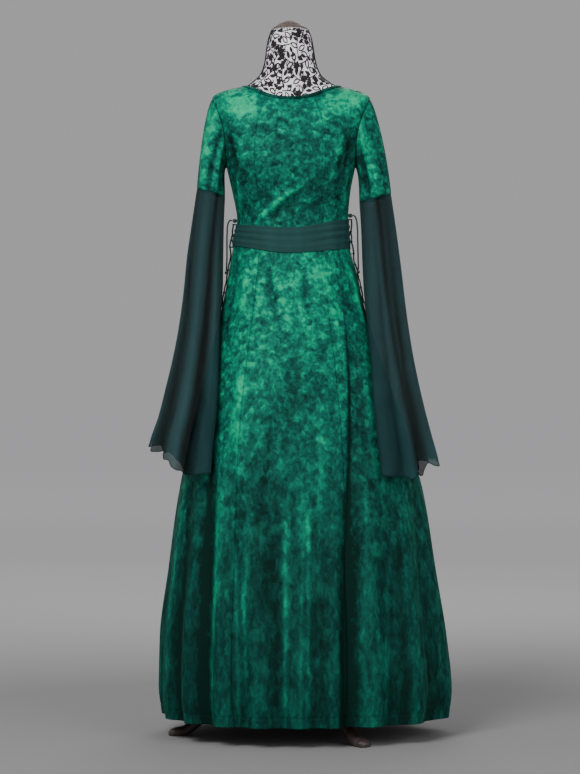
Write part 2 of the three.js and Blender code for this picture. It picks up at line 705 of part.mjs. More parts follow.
// The form fills the bodice just inside the velvet, narrows to the hips and climbs to a covered neck.
function makeForm() {
  const turns = waistTurns().filter((turn, index) => index % 2 === 0);
  const ring = (row) => turns.map((turn) => ringPoint(row, turn));
  const inside = (run) => turns.map((turn) => {
    const out = outward(bodyPoint, turn, run, 0.5, 1);
    return bodyPoint(turn, run).addScaledVector(out, -VELVET - REST);
  });
  const rings = [
    ...named(GOWN_COLUMNS, FORM_HIP_ROWS).map(ring),
    ...ROWS.filter(({ run, t }) => run > FORM_TOP && run !== SHOULDER && (t % 180 === 0 || FORM_BESIDE.includes(t)))
      .map(({ run }) => inside(run)),
    ...named(GOWN_COLUMNS, NECK_ROWS).map(ring),
  ];
  add('form_torso', skinned(rings), MATERIALS.cover);
  const base = NECK_ROWS[NECK_ROWS.length - 1][6] + SEAM;
  const profile = [new THREE.Vector2(0, base), ...CAP_ROWS.map(([up, radius]) => new THREE.Vector2(radius, base + up))];
  const dome = new THREE.LatheGeometry(profile, 24);
  dome.rotateX(Math.PI / 2);
  dome.scale(1, -CAP_DEPTH, 1);
  add('form_cap', closed(dome), MATERIALS.cap);
}

// One leg of the tripod: rounded sections along its curve, cut flat where it meets the floor.
function leg(turn) {
  const angle = (turn - 90) * RAD;
  const ahead = new THREE.Vector3(Math.cos(angle), Math.sin(angle), 0);
  const aside = new THREE.Vector3(-Math.sin(angle), Math.cos(angle), 0);
  const rings = LEG_ROWS.map(([out, height, wide, tall], row) => {
    const before = LEG_ROWS[Math.max(0, row - 1)];
    const after = LEG_ROWS[Math.min(LEG_ROWS.length - 1, row + 1)];
    const slope = Math.atan2(after[1] - before[1], after[0] - before[0]);
    const lean = row === 0 || row > 6 ? 0 : slope;
    return Array.from({ length: LEG_SIDES }, (_, i) => {
      const round = ((i + 0.5) * 2 * Math.PI) / LEG_SIDES;
      const up = tall * Math.sin(round);
      const z = height + up * Math.cos(lean);
      const point = ahead.clone().multiplyScalar(out - up * Math.sin(lean));
      point.addScaledVector(aside, wide * Math.cos(round));
      point.z = Math.max(0, z);
      return point;
    });
  });
  return skinned(rings);
}

function makeStand() {
  const poleTop = FORM_FOOT - SEAM;
  const poleLow = HUB.high + SEAM;
  const pole = new THREE.CylinderGeometry(POLE_RADIUS, POLE_RADIUS, poleTop - poleLow, 16);
  pole.rotateX(Math.PI / 2);
  pole.translate(0, 0, (poleTop + poleLow) / 2);
  add('stand_pole', closed(pole), MATERIALS.stand);
  const hub = new THREE.CylinderGeometry(HUB.radius, HUB.radius, HUB.high - HUB.low, 24);
  hub.rotateX(Math.PI / 2);
  hub.translate(0, 0, (HUB.high + HUB.low) / 2);
  add('stand_hub', closed(hub), MATERIALS.stand);
  for (const [name, turn] of Object.entries(LEG_TURNS)) add(`stand_leg_${name}`, leg(turn), MATERIALS.stand);
}

makePanels();
makeBinding();
makeSleeves();
makeSash();
makeTails();
makeLaces();
makeForm();
makeStand();

// The origin is put on the floor under the middle of the whole part.
const box = new THREE.Box3().setFromObject(gown);
const middle = box.getCenter(new THREE.Vector3());
gown.position.set(-middle.x, -middle.y, -box.min.z);

export default gown;
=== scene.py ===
"""Medieval gown of crushed velvet and chiffon on a limbless dress form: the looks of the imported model.

The cloth is worked out as surfaces. A turn is an angle about the pole in degrees, 0 at the front centre,
90 at +X and 180 at the back, and a run climbs the cloth in millimetres, from the hem over the shoulders.
"""

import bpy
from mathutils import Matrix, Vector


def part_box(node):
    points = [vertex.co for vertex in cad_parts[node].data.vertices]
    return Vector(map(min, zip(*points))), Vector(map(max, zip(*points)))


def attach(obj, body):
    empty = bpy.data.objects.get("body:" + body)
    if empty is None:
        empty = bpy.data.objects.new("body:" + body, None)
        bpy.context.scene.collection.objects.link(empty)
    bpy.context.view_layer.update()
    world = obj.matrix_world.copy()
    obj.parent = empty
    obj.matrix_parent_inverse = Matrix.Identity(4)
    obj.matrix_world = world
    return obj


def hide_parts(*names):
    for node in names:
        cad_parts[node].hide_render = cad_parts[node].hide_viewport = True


bl_info = {
    "name": "Medieval gown on dress form",
    "version": (1, 0, 0),
    "blender": (4, 5, 0),
    "location": "View3D > Sidebar > Gown",
    "description": "Builds the gown's cloth and cords and the dress form around the packed model",
    "category": "Add Mesh",
}

import math

import bmesh
import bpy
import numpy as np
from bpy.props import FloatProperty, FloatVectorProperty, IntProperty, PointerProperty

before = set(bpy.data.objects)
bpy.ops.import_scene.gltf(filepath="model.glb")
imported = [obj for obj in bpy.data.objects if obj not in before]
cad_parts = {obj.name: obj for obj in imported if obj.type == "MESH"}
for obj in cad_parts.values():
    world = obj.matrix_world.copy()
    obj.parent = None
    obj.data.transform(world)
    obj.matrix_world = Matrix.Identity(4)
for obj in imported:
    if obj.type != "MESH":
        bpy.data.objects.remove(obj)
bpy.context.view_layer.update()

MM = 0.001
POLE_LOW, POLE_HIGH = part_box("stand_pole")
POLE_X = (POLE_LOW[0] + POLE_HIGH[0]) / 2
POLE_Y = (POLE_LOW[1] + POLE_HIGH[1]) / 2

# Places along the cloth, in millimetres
HEM = 46.0
WAIST = 1100.0
UNDERARM = 1300.0
SHOULDER = 1460.0
NECKLINE = 1540.0
# Gap that a sewn seam leaves between two pieces
SEAM = 0.05

# Runs up to the underarm, where every ring is level and stands as high as its run
LEVEL = (46, 110, 220, 380, 540, 700, 860, 1000, 1053, 1100, 1135, 1180, 1235, 1300)

# Rings of the gown in millimetres: run up the cloth, half sizes from the pole, superellipse power,
# heights at the side, front and back, and how steeply the ring falls between them.
GOWN = {
    "run": LEVEL + (1380, 1460, 1500, 1540),
    "left": (288, 296, 295, 277, 258, 226, 186, 152, 142, 134, 128, 122, 131, 146, 164, 179, 140, 101),
    "right": (364, 371, 361, 335, 309, 266, 210, 166, 155, 141, 134, 134, 138, 150, 168, 184, 147, 109),
    "front": (256, 260, 251, 231, 210, 186, 156, 124, 113, 104, 98, 98, 109, 119, 112, 97, 86, 72),
    "back": (244, 248, 240, 222, 203, 182, 154, 124, 113, 101, 93, 89, 94, 101, 100, 89, 76, 60),
    "square": (2.1,) * 12 + (2.2, 2.3, 2.3, 2.3, 2.2, 2),
    "side": LEVEL + (1380, 1459, 1480, 1487),
    "ahead": LEVEL + (1357, 1408, 1434, 1455),
    "behind": LEVEL + (1368, 1432, 1466, 1494),
    "fall": (8,) * 16 + (5, 3),
}

# The dress form below the waist and above the neckline, in the gown's columns. Its foot is level.
FOOT_RUNS = (862, 870, 900, 960, 1010)
FORM_FOOT = {
    "run": FOOT_RUNS, "left": (118, 134, 141, 142, 140), "right": (122, 138, 146, 148, 148),
    "front": (90, 104, 111, 112, 112), "back": (96, 110, 117, 118, 114), "square": (2.1,) * 5,
    "side": FOOT_RUNS, "ahead": FOOT_RUNS, "behind": FOOT_RUNS, "fall": (8,) * 5,
}
FORM_NECK = {
    "run": (1540, 1560, 1585, 1612, 1640, 1664, 1682), "left": (98, 86, 66, 56, 52, 47, 40),
    "right": (106, 90, 68, 57, 52, 47, 40), "front": (69, 60, 52, 48, 45, 41, 35),
    "back": (57, 52, 48, 46, 44, 40, 34), "square": (2,) * 7,
    "side": (1486, 1495, 1515, 1545, 1576, 1600, 1618), "ahead": (1454, 1476, 1504, 1539, 1574, 1600, 1618),
    "behind": (1493, 1509, 1526, 1551, 1578, 1600, 1618), "fall": (3,) * 7,
}
# How far the form stays inside the velvet's outer face, so that every crease clears it
FORM_INSET = ((1053, 8), (1180, 8), (1300, 9), (1400, 9), (1480, 7), (1520, 3.4), (1540, 2.9))

# Large folds of the skirt: turn at the hem, turn where they run out, width in degrees, depth and top.
# A depth below zero is a valley.
SKIRT_FOLDS = (
    (-91, -91, 6, 8, 560), (-82, -83, 5.5, -10, 640), (-72, -75, 5.5, 9, 600),
    (-62, -67, 5.5, -12, 700), (-53, -60, 5, 11, 720), (-44, -55, 5, -17, 780),
    (-35, -46, 4.5, 10, 700), (-26, -34, 4.5, -9, 540), (-16, -21, 5, 8, 480), (-7, -10, 5, -8, 520),
    (3, 4, 5, 7, 440), (12, 16, 5, -8, 500), (20, 30, 4.5, 9, 620), (28, 60, 4.5, -21, 1010),
    (38, 62, 5, 11, 900), (47, 60, 5, -10, 640), (57, 68, 5, 12, 700), (67, 76, 5.5, -10, 640),
    (78, 84, 5.5, 9, 600), (89, 91, 6, -9, 560), (101, 101, 5.5, 10, 680), (112, 110, 5.5, -13, 760),
    (122, 119, 5.5, 10, 640), (133, 130, 5.5, -11, 600), (144, 140, 5.5, 10, 700),
    (155, 150, 5.5, -15, 860), (166, 162, 5.5, 10, 720), (178, 176, 6, -10, 560), (190, 192, 6, 9, 600),
    (202, 207, 5.5, -14, 820), (213, 219, 5.5, 11, 700), (224, 230, 5.5, -11, 620),
    (235, 239, 5.5, 10, 660), (246, 248, 5.5, -12, 740), (257, 258, 6, 9, 620),
)

# Finer flutes between them near the hem, which don't lean: turn, width in degrees, depth, top.
HEM_FLUTES = (
    (-86, 2.4, -4, 300), (-67, 2.2, 4, 330), (-48, 2.2, 5, 420), (-39.5, 2.0, -5, 400),
    (-30, 2.2, 4, 360), (-21, 2.0, -4, 300), (-11.5, 2.2, 4, 330), (-2, 2.0, -4, 280),
    (7.5, 2.2, 4, 340), (16, 2.2, -4, 300), (24, 2.0, 5, 520), (33, 2.0, -4, 460), (42.5, 2.2, 5, 380),
    (52, 2.2, -4, 320), (62, 2.4, 4, 330), (73, 2.4, -4, 320), (95, 2.6, -4, 340), (106.5, 2.4, 4, 320),
    (117, 2.4, -4, 300), (127.5, 2.4, 4, 340), (149.5, 2.4, -4, 360), (160.5, 2.2, -5, 400),
    (172, 2.4, 4, 300), (184, 2.4, -4, 320), (196, 2.4, 4, 340), (207.5, 2.4, -4, 380),
    (218.5, 2.4, -4, 300), (229.5, 2.4, 4, 320), (251.5, 2.4, 4, 340),
)

# Creases of the gown: turn and run of each end, width and depth in millimetres
GOWN_CREASES = (
    (-46, 1170, 15, 1255, 5.5, 7.0), (-34, 1166, 24, 1246, 9, -4.5), (-62, 1178, -20, 1262, 10, -2.5),
    (-70, 1190, -58, 1290, 6, 3.0), (-62, 1184, -48, 1300, 7, -2.5), (62, 1192, 50, 1330, 9, -3.5),
    (72, 1188, 62, 1300, 6, 3.0), (48, 1190, 34, 1250, 8, 2.0), (10, 1178, 40, 1220, 7, -2.5),
    (-66, 1390, -58, 1270, 8, -5.0), (-56, 1400, -46, 1290, 8, 2.5), (64, 1400, 60, 1262, 9, -5.0),
    (54, 1410, 48, 1290, 7, 2.5), (-20, 1400, 8, 1330, 12, -2.0), (20, 1420, -6, 1352, 12, 1.8),
    (-30, 1080, -12, 960, 9, -3.0), (-18, 1080, 4, 900, 10, 2.5), (16, 1084, 20, 930, 9, -3.0),
    (36, 1080, 44, 900, 10, 3.0), (-52, 1084, -46, 930, 9, 3.0), (-66, 1084, -62, 900, 8, -3.5),
    (70, 1084, 72, 900, 8, 3.5), (4, 900, -4, 620, 14, -3.0), (-40, 860, -32, 560, 12, 3.5),
    (24, 800, 18, 480, 12, 3.0), (-12, 760, -18, 470, 12, -3.0), (52, 820, 44, 500, 12, -4.0),
    (150, 1180, 196, 1246, 8, 3.0), (210, 1182, 168, 1250, 9, -3.0), (120, 1192, 132, 1320, 8, -3.0),
    (240, 1192, 228, 1320, 8, 3.0), (116, 1400, 122, 1280, 8, -4.0), (244, 1400, 238, 1280, 8, -4.0),
    (166, 1084, 172, 900, 10, 3.0), (186, 1084, 190, 880, 10, -3.0), (140, 1084, 142, 900, 9, -3.0),
    (214, 1084, 212, 900, 9, 3.0), (174, 860, 180, 560, 12, -3.0), (200, 840, 196, 560, 12, 3.0),
)

# Painted light and shade up the gown, from 0 dark to 1 bright, darker towards the hem: run and share
PAINTED_LIGHT_UP = {
    "run": (46, 200, 380, 520, 700, 860, 1000, 1080, 1140, 1240, 1340, 1420, 1470, 1540),
    "share": (0.3, 0.31, 0.33, 0.38, 0.48, 0.53, 0.56, 0.57, 0.5, 0.48, 0.48, 0.49, 0.53, 0.54),
}
# Places painted bright or dark, as painted highlight and shade with some of the pile's own brushing: turn,
# run, half width in degrees, half height in millimetres, amount
LIGHT_AND_NAP_SPOTS = (
    (-56, 1470, 22, 44, 0.28), (64, 1480, 20, 42, 0.23), (34, 1236, 13, 22, -0.13),
    (-30, 1236, 12, 30, -0.05), (-62, 1330, 10, 70, -0.16), (64, 1320, 9, 80, -0.08),
    (-54, 1030, 16, 60, 0.08), (38, 1070, 22, 40, 0.06), (-30, 820, 16, 120, 0.07),
    (26, 760, 12, 90, -0.07), (56, 900, 6, 120, -0.1), (-11, 360, 8, 150, -0.1),
    (-2, 330, 2.2, 200, 0.17), (8, 500, 5, 80, 0.13), (17, 300, 4, 180, -0.08),
    (-25, 300, 2.2, 170, 0.15), (-40, 380, 2.8, 300, 0.16), (-50, 400, 4, 300, -0.14),
    (-78, 480, 10, 170, 0.1), (45, 190, 3, 50, 0.14), (68, 230, 4, 60, 0.1), (90, 400, 14, 250, 0.04),
    (152, 1474, 24, 40, 0.2), (206, 1474, 24, 40, 0.2), (180, 900, 30, 130, 0.07),
    (150, 330, 4, 260, 0.12), (196, 380, 4, 240, 0.12), (230, 300, 4, 200, 0.1),
    (120, 360, 4, 220, 0.1), (172, 320, 7, 200, -0.1), (215, 300, 6, 200, -0.1),
)

# Narrow streaks of painted highlight and shade that climb with the folds: turn at the hem and where they run
# out, top, width in degrees, amount
LIGHT_AND_SHADE_STREAKS = (
    (28.5, 60, 1120, 1.3, -0.4), (25, 56, 620, 2.6, -0.08), (-46, -57, 820, 1.4, -0.2),
    (-40, -50, 800, 1.8, 0.22), (-2.5, -4, 560, 1.4, 0.14), (-26, -36, 560, 1.1, 0.18),
    (-21, -28, 420, 1.0, 0.12), (9, 12, 640, 1.4, 0.16), (5, 8, 480, 1.0, 0.12),
    (14, 20, 700, 1.0, 0.1), (34, 60, 860, 1.5, 0.12), (45, 58, 520, 1.4, 0.12),
    (53, 62, 620, 1.4, -0.18), (64, 70, 560, 1.3, 0.12), (-62, -68, 640, 1.5, -0.16),
    (-70, -74, 560, 1.6, 0.12), (151, 148, 820, 1.4, -0.3), (145, 141, 700, 1.6, 0.16),
    (203, 208, 800, 1.4, -0.28), (209, 214, 680, 1.6, 0.14), (180, 178, 560, 1.2, 0.16),
    (171, 167, 640, 1.3, 0.14), (190, 193, 600, 1.2, 0.14), (112, 110, 700, 1.5, -0.2),
    (120, 118, 620, 1.4, 0.12), (246, 248, 700, 1.5, -0.2), (237, 240, 620, 1.4, 0.12),
    (100, 100, 560, 1.3, 0.1),
)

# Painted light and shade: how much brighter each millimetre of ridge is, how much darker each millimetre of
# valley, how much brighter or darker each millimetre of crease as it stands out or sinks, and how much
# darker a sewn edge
RIDGE_LIGHT = 0.009
VALLEY_SHADE = 0.014
CREASE_LIGHT_AND_SHADE = 0.045
NAP_SEAM = 0.03

# Cut of the panels: where the long seams stand at the hem and from the waist up, and half the armhole
SEAM_TURN_HEM = 28.0
SEAM_TURN_TOP = 38.0
ARM_TURN = 19.5
# How wide a sewn edge is drawn in, where the hem's stitches pull the velvet in and how much, and how far
# the velvet stays inside its solid, in millimetres
SEAM_WIDE = 3.0
HEM_STITCH = {"up": 22, "wide": 2.0, "deep": 0.8}
VELVET_INSIDE = 0.2
PANELS = {
    "front_centre": ("front_left", "front_right"),
    "front_side_right": ("front_right", "side_right_front"),
    "back_side_right": ("side_right_back", "back_right"),
    "back_centre": ("back_right", "back_left"),
    "back_side_left": ("back_left", "side_left_back"),
    "front_side_left": ("side_left_front", "front_left"),
}

# What the binding and the sash lie on, and the binding: lowest run, width, waves of its stitches round the
# neckline, and thickness
BINDING = {"low": 1530, "wide": 12, "stitches": 90, "wall": 0.9}

# Bell sleeves: height, outer and inner side from the pole, middle and half of the depth, hem heights by
# place round the sleeve (0 at the body, 90 in front, 180 outside), and folds as place, width and depth.
# creases run from one place to another: both places, drop where they start, width in degrees, depth.
# tones are painted shade and painted light on the bell along such lines: both places, width, amount.
# cap_creases lie on the velvet sleeve above: place at the armhole and at the seam, width, depth.
# cap_light_and_shade_spots are painted highlight and painted shade there: place, share of the way down,
# width, amount.
SLEEVES = {
    "left": {
        "side": -1, "seam_outer": 1249, "seam_inner": 1233,
        "z": (590, 674, 731, 796, 862, 929, 1007, 1096, 1160, 1260),
        "outer": (318, 307, 290, 275, 261, 250, 241, 234, 226, 213),
        "inner": (172, 166, 160, 157, 156, 155, 154, 153, 152, 148),
        "middle": (-112, -104, -97, -81, -63, -44, -25, -12, -6, 0),
        "depth": (80, 77, 81, 78, 74, 70, 65, 60, 57, 56),
        "hem": ((0, 606), (45, 603), (75, 600), (100, 618), (130, 642), (180, 670), (225, 652),
                (270, 622), (320, 608)),
        "folds": ((40, 15, 9), (72, 14, -15), (106, 14, 10), (140, 14, -10), (180, 16, 8),
                  (222, 15, -11), (262, 15, 10), (300, 14, -9), (336, 14, 6)),
        "creases": ((58, 82, 0.0, 6, -9), (44, 60, 0.05, 6, 4), (100, 100, 0.1, 6, 4),
                    (122, 126, 0.2, 6, -5), (150, 156, 0.3, 6, 4), (18, 22, 0.3, 6, -4),
                    (230, 236, 0.1, 7, -6), (252, 256, 0.2, 6, 4), (285, 282, 0.1, 6, -5),
                    (312, 316, 0.3, 6, 4)),
        "light_and_shade_lines": ((60, 88, 9, -0.42), (100, 108, 14, 0.1), (38, 60, 12, 0.1), (148, 150, 13, -0.24)),
        "cap_creases": ((100, 96, 11, -6), (72, 64, 10, 4), (128, 132, 12, 3.5), (48, 40, 9, -4),
                        (250, 262, 11, -5), (222, 230, 11, 3)),
        "cap_light_and_shade_spots": ((140, 0.4, 26, 0.22), (100, 0.5, 10, -0.2), (60, 0.6, 14, -0.05)),
    },
    "right": {
        "side": 1, "seam_outer": 1235, "seam_inner": 1219,
        "z": (580, 635, 686, 743, 796, 876, 987, 1074, 1160, 1250),
        "outer": (331, 325, 314, 302, 291, 277, 262, 253, 243, 231),
        "inner": (196, 192, 187, 182, 178, 175, 170, 166, 163, 157),
        "middle": (-118, -112, -106, -94, -79, -56, -28, -14, -6, 0),
        "depth": (82, 80, 81, 78, 73, 66, 61, 58, 57, 56),
        "hem": ((0, 604), (45, 598), (90, 596), (120, 602), (145, 620), (180, 640), (225, 632),
                (270, 612), (320, 604)),
        "folds": ((36, 14, 8), (68, 14, -10), (100, 14, 12), (128, 13, -14), (160, 15, 9),
                  (196, 15, -9), (232, 15, 10), (272, 15, -10), (312, 15, 8)),
        "creases": ((84, 120, 0.0, 6, -8), (66, 78, 0.1, 6, -5), (100, 104, 0.1, 6, 4),
                    (140, 144, 0.2, 6, 4), (160, 168, 0.3, 6, -4), (30, 34, 0.3, 6, -4),
                    (228, 236, 0.1, 7, -6), (252, 258, 0.2, 6, 4), (285, 284, 0.1, 6, -5),
                    (312, 316, 0.3, 6, 4)),
        "light_and_shade_lines": ((93, 108, 9, -0.42), (112, 130, 16, -0.14), (62, 76, 20, 0.14), (152, 160, 12, 0.05)),
        "cap_creases": ((70, 58, 10, -6), (98, 96, 11, 4), (128, 136, 12, -3.5), (44, 36, 9, 3),
                        (250, 262, 11, -5), (222, 230, 11, 3)),
        "cap_light_and_shade_spots": ((90, 0.7, 16, 0.1), (52, 0.4, 12, -0.2), (130, 0.3, 20, -0.06),
                      (100, 0.05, 30, 0.1)),
    },
}
# Least gap from a bell to the skirt, radius of its rolled hem, and the velvet sleeve's usual length. How
# the velvet sleeve's edge lies inside the armhole: in degrees, in millimetres of run, and sunk by one part
# in so many of its distance from the pole.
BELL_CLEAR = 8.0
BELL_ROLL = 0.9
SLEEVE_LONG = 190
SLEEVE_EDGE = {"inside_turn": 0.12, "inside_run": 0.35, "sunk": 165}
# Short steps in the sleeve's hem where single folds of chiffon end: place, width in degrees, drop
HEM_STEPS = ((96, 5, 5), (112, 5, -6), (126, 5, 6), (142, 5, -7), (158, 6, 6), (174, 5, -6),
             (190, 6, 7), (208, 6, -6), (226, 6, 6), (250, 7, -5), (276, 7, 5))

# Sash: turn, lower edge and upper edge, then how far it stands off by place between its edges
SASH_EDGES = ((-180, 1106, 1164), (-90, 1119, 1167), (0, 1099, 1157), (90, 1112, 1181), (180, 1106, 1164))
SASH_LIFT = {"place": (0, 0.33, 0.67, 1), "lift": (0.6, 3.6, 2.0, 0.6)}
# Soft folds along the sash: place between its edges at the front, at the sides, width, depth
SASH_PLEATS = ((0.2, 0.24, 0.05, 1.3), (0.33, 0.42, 0.05, -1.7), (0.5, 0.55, 0.06, 1.4),
               (0.66, 0.63, 0.05, -1.8), (0.8, 0.76, 0.05, 1.2), (0.42, 0.33, 0.03, -0.9),
               (0.9, 0.86, 0.03, -0.9))
# Short gathers where the laces pull the sash in: turn from the front or back, width in degrees, depth
SASH_GATHERS = ((83, 2.6, -1.7), (75, 2.4, -1.3), (66, 3, -0.9), (55, 3.5, -0.6))
# Tails of the sash: width, width at the knot, turns from the middle at the knot and at the end, share of
# the length over which they spread, gap to the skirt, and the run at the knot. Then the side of each one
# and the run of its end.
SASH_TAIL = {"width": 52, "narrow": 17, "near": 5.6, "far": 15, "spread": 0.333, "gap": 4.5, "top": 1117.3}
SASH_TAIL_ENDS = {"right": (1, 700), "left": (-1, 650)}
# Knot of the sash: half sizes, height, and how far it stands off the gown
SASH_KNOT = {"wide": 21, "deep": 12, "tall": 24, "z": 1134, "out": 6.6}

# Laces down the side seams: thickness, swing in degrees, lowest run, run from loop to loop, gap to the
# velvet and to where it lies on the sash, twist and half height of a knot. Then the place of each knot and
# the route of its free end, in millimetres from the pole.
LACE = 4.0
LACE_SWING = 6.0
LACE_BOTTOM = 944
LACE_STEP = 26
LACE_LIFT = 0.8
LACE_LIFT_SASH = 5.8
LACE_PITCH = 13.0
KNOT_TALL = 5.0
TIES = {
    "left": {
        "side": -1,
        "knot": (-126.6, -16, 1177),
        "route": ((-132.5, -16, 1177.5), (-137, -16.5, 1178), (-141, -17.5, 1173), (-143.5, -18, 1163),
                  (-144, -18, 1150), (-144.5, -18, 1140), (-144.5, -18, 1128), (-144.5, -18, 1116),
                  (-144.5, -18, 1104), (-144.5, -18, 1092), (-145, -18, 1080), (-145.5, -18, 1070),
                  (-146, -18, 1062)),
    },
    "right": {
        "side": 1,
        "knot": (138.6, -16, 1189),
        "route": ((145, -16, 1190), (149, -17, 1187), (152, -18, 1180), (153.5, -18, 1171),
                  (154.5, -18, 1160), (155, -18, 1148), (155, -18, 1136), (155.5, -18, 1124),
                  (155.5, -18, 1112), (156, -18, 1100), (156, -18, 1088), (156.5, -18, 1076),
                  (156.5, -18, 1064)),
    },
}

# Stand: turn of each leg, and along it the way out, height, half width and half height
LEG_TURNS = {"front": 37.4, "left": -82.6, "back": 157.4}
LEG = {
    "step": (0, 1, 2, 3, 4, 5, 6, 7, 8),
    "out": (27.5, 60, 105, 150, 190, 222, 246, 268, 280),
    "height": (142, 146, 128, 92, 54, 24, 9, 7, 5),
    "wide": (13, 13, 13, 12, 12, 13, 16, 17, 11),
    "tall": (17, 16, 15, 14, 12, 12, 12, 10, 7),
}
# Steps of a leg at which it starts to level out and its toe to round off, and its superellipse power
LEG_LEVEL = 5.5
LEG_TOE = 7.4
LEG_SQUARE = 2.6

# Profiles of the pole, hub and cap: radius and height. Then the cap's foot, and its depth as a share.
POLE = ((0, 178.3), (13, 178.3), (14, 179.3), (14, 860.7), (13, 861.7), (0, 861.7))
HUB = ((0, 96), (24, 96), (27, 99), (27, 130), (25.6, 132), (25.6, 134), (27, 136), (27, 175),
       (24, 178), (0, 178))
CAP = ((0, 0), (40, 0), (40.5, 1.5), (39.5, 3), (36.5, 5.3), (33, 7.5), (29.8, 9.7), (26.5, 12),
       (22, 14.6), (17, 17), (12.7, 18.9), (7, 20.7), (0, 21.5))
CAP_BASE = 1618.3
CAP_DEPTH = 0.87

# Soft lamps of the stage: place and size in metres, and the height they are aimed at
LAMPS = {"key": ((-1.6, -3.2, 3.4), 1.8), "fill": ((2.6, -3.2, 1.9), 2.4), "rim": ((0.4, 2.8, 3.2), 2.0)}
LAMP_AIM = 0.95


# Reading the tables, and grids

def all_round(count, whole=2 * np.pi):
    """Evenly spaced places once round, in one row, without the first one again."""
    return np.linspace(0, whole, count, endpoint=False)[None, :]


def climbing(low, high, count):
    """Evenly spaced places from one end to the other, in one column."""
    return np.linspace(low, high, count)[:, None]


def points_of(x, y, z):
    """A grid of points from its three coordinates."""
    return np.stack(np.broadcast_arrays(x, y, z), axis=-1)


def from_pole(points):
    """Distance of points from the pole."""
    return np.hypot(points[..., 0], points[..., 1])


def slopes(keys, values):
    """Slopes of a monotone cubic: the harmonic mean of the steps on each side, flat where they turn."""
    steps = np.diff(values, axis=0) / np.diff(keys).reshape((-1,) + (1,) * (values.ndim - 1))
    product = steps[:-1] * steps[1:]
    total = steps[:-1] + steps[1:]
    mean = np.where(product > 0, 2 * product / np.where(total == 0, 1, total), 0)
    return np.concatenate((steps[:1], mean, steps[-1:]))


def read(keys, values, at):
    """A table of numbers or of whole rings, read between its rows along a monotone cubic, and straight
    on past its ends."""
    keys = np.asarray(keys, float)
    values = np.asarray(values, float)
    at = np.asarray(at, float)
    slope = slopes(keys, values)
    i = np.clip(np.searchsorted(keys, at) - 1, 0, len(keys) - 2)
    spread = at.shape + (1,) * (values.ndim - 1)
    span = (keys[i + 1] - keys[i]).reshape(spread)
    t = np.clip((at - keys[i]).reshape(spread) / span, 0, 1)
    inside = ((2 * t**3 - 3 * t**2 + 1) * values[i] + (t**3 - 2 * t**2 + t) * span * slope[i]
              + (3 * t**2 - 2 * t**3) * values[i + 1] + (t**3 - t**2) * span * slope[i + 1])
    below = slope[0] * np.minimum(at - keys[0], 0).reshape(spread)
    above = slope[-1] * np.maximum(at - keys[-1], 0).reshape(spread)
    return inside + below + above


def apart(turn, other):
    """Signed angle between two turns, from -180 to 180 degrees."""
    return (turn - other + 180) % 360 - 180


def ease(value):
    """Smooth step from 0 to 1."""
    t = np.clip(value, 0, 1)
    return t * t * (3 - 2 * t)


def eased(rows, column, at):
    """Rows of a place and values, read between them along half a cosine wave."""
    places = np.array([row[0] for row in rows], float)
    values = np.array([row[column] for row in rows], float)
    i = np.clip(np.searchsorted(places, at, side="right") - 1, 0, len(places) - 2)
    t = np.clip((at - places[i]) / (places[i + 1] - places[i]), 0, 1)
    return values[i] + (values[i + 1] - values[i]) * (1 - np.cos(np.pi * t)) / 2


def bell(off, width):
    """A bell curve: 1 in its middle and about a third at one width."""
    return np.exp(-((off / width) ** 2))


# The gown as a surface

def ring_point(table, run, turn, extra=0.0):
    """A superellipse about the pole with its own half size each way, raised or lowered at its sides."""
    size = {column: read(table["run"], table[column], run) for column in table if column != "run"}
    angle = np.radians(np.asarray(turn, float) - 90)
    across = np.cos(angle)
    along = np.sin(angle)
    wide = np.where(across < 0, size["left"], size["right"])
    deep = np.where(along < 0, size["front"], size["back"])
    power = size["square"]
    radius = ((np.abs(across) / wide) ** power + (np.abs(along) / deep) ** power) ** (-1 / power) + extra
    end = np.where(along < 0, size["ahead"], size["behind"])
    z = size["side"] + (end - size["side"]) * (1 - np.abs(across) ** size["fall"])
    return points_of(radius * across, radius * along, z)


def leaning(turn, run, hem, above, top, width):
    """A bell curve across a line that leans as it climbs, and what is left of the climb: 1 at the hem and
    0 from the line's top up."""
    climb = np.clip((run - HEM) / (top - HEM), 0, 1)
    return bell(apart(turn, hem + (above - hem) * climb**2), width), 1 - climb


def skirt_relief(turn, run):
    """Sum of the skirt's folds: each a bell curve across, deepest at the hem, and leaning as it climbs."""
    total = np.zeros(np.broadcast(turn, run).shape)
    for hem, above, width, depth, top in SKIRT_FOLDS:
        curve, left = leaning(turn, run, hem, above, top, width)
        total += depth * left**0.8 * curve
    return total


def flute_relief(turn, run):
    """Sum of the finer flutes, which run out a little above the hem."""
    total = np.zeros(np.broadcast(turn, run).shape)
    for middle, width, depth, top in HEM_FLUTES:
        curve, left = leaning(turn, run, middle, middle, top, width)
        total += depth * left**1.2 * curve
    return total


def crease_relief(turn, run, mm_per_degree):
    """Sum of the creases: each a bell curve about a straight line, fading towards both its ends."""
    total = np.zeros(np.broadcast(turn, run).shape)
    for turn_a, run_a, turn_b, run_b, width, depth in GOWN_CREASES:
        across = (turn_b - turn_a) * mm_per_degree
        up = run_b - run_a
        length = np.hypot(across, up)
        u = apart(turn, turn_a) * mm_per_degree
        v = run - run_a
        place = (u * across + v * up) / length**2
        off = (u * up - v * across) / length
        total += depth * ease(place * 4) * ease((1 - place) * 4) * bell(off, width)
    return total


def gown_body(turn, run, extra=0.0):
    """The gown without its folds, in millimetres from the pole."""
    return ring_point(GOWN, run, turn, extra)


def gown_folded(turn, run):
    """The gown with the large folds that its solids have."""
    return gown_body(turn, run, skirt_relief(turn, run))


def gown_relief(turn, run):
    """Folds with their flutes, and creases, in millimetres out from the gown without folds."""
    radius = from_pole(gown_body(turn, run)).mean(axis=-1, keepdims=True)
    return skirt_relief(turn, run) + flute_relief(turn, run), crease_relief(turn, run, np.radians(radius))


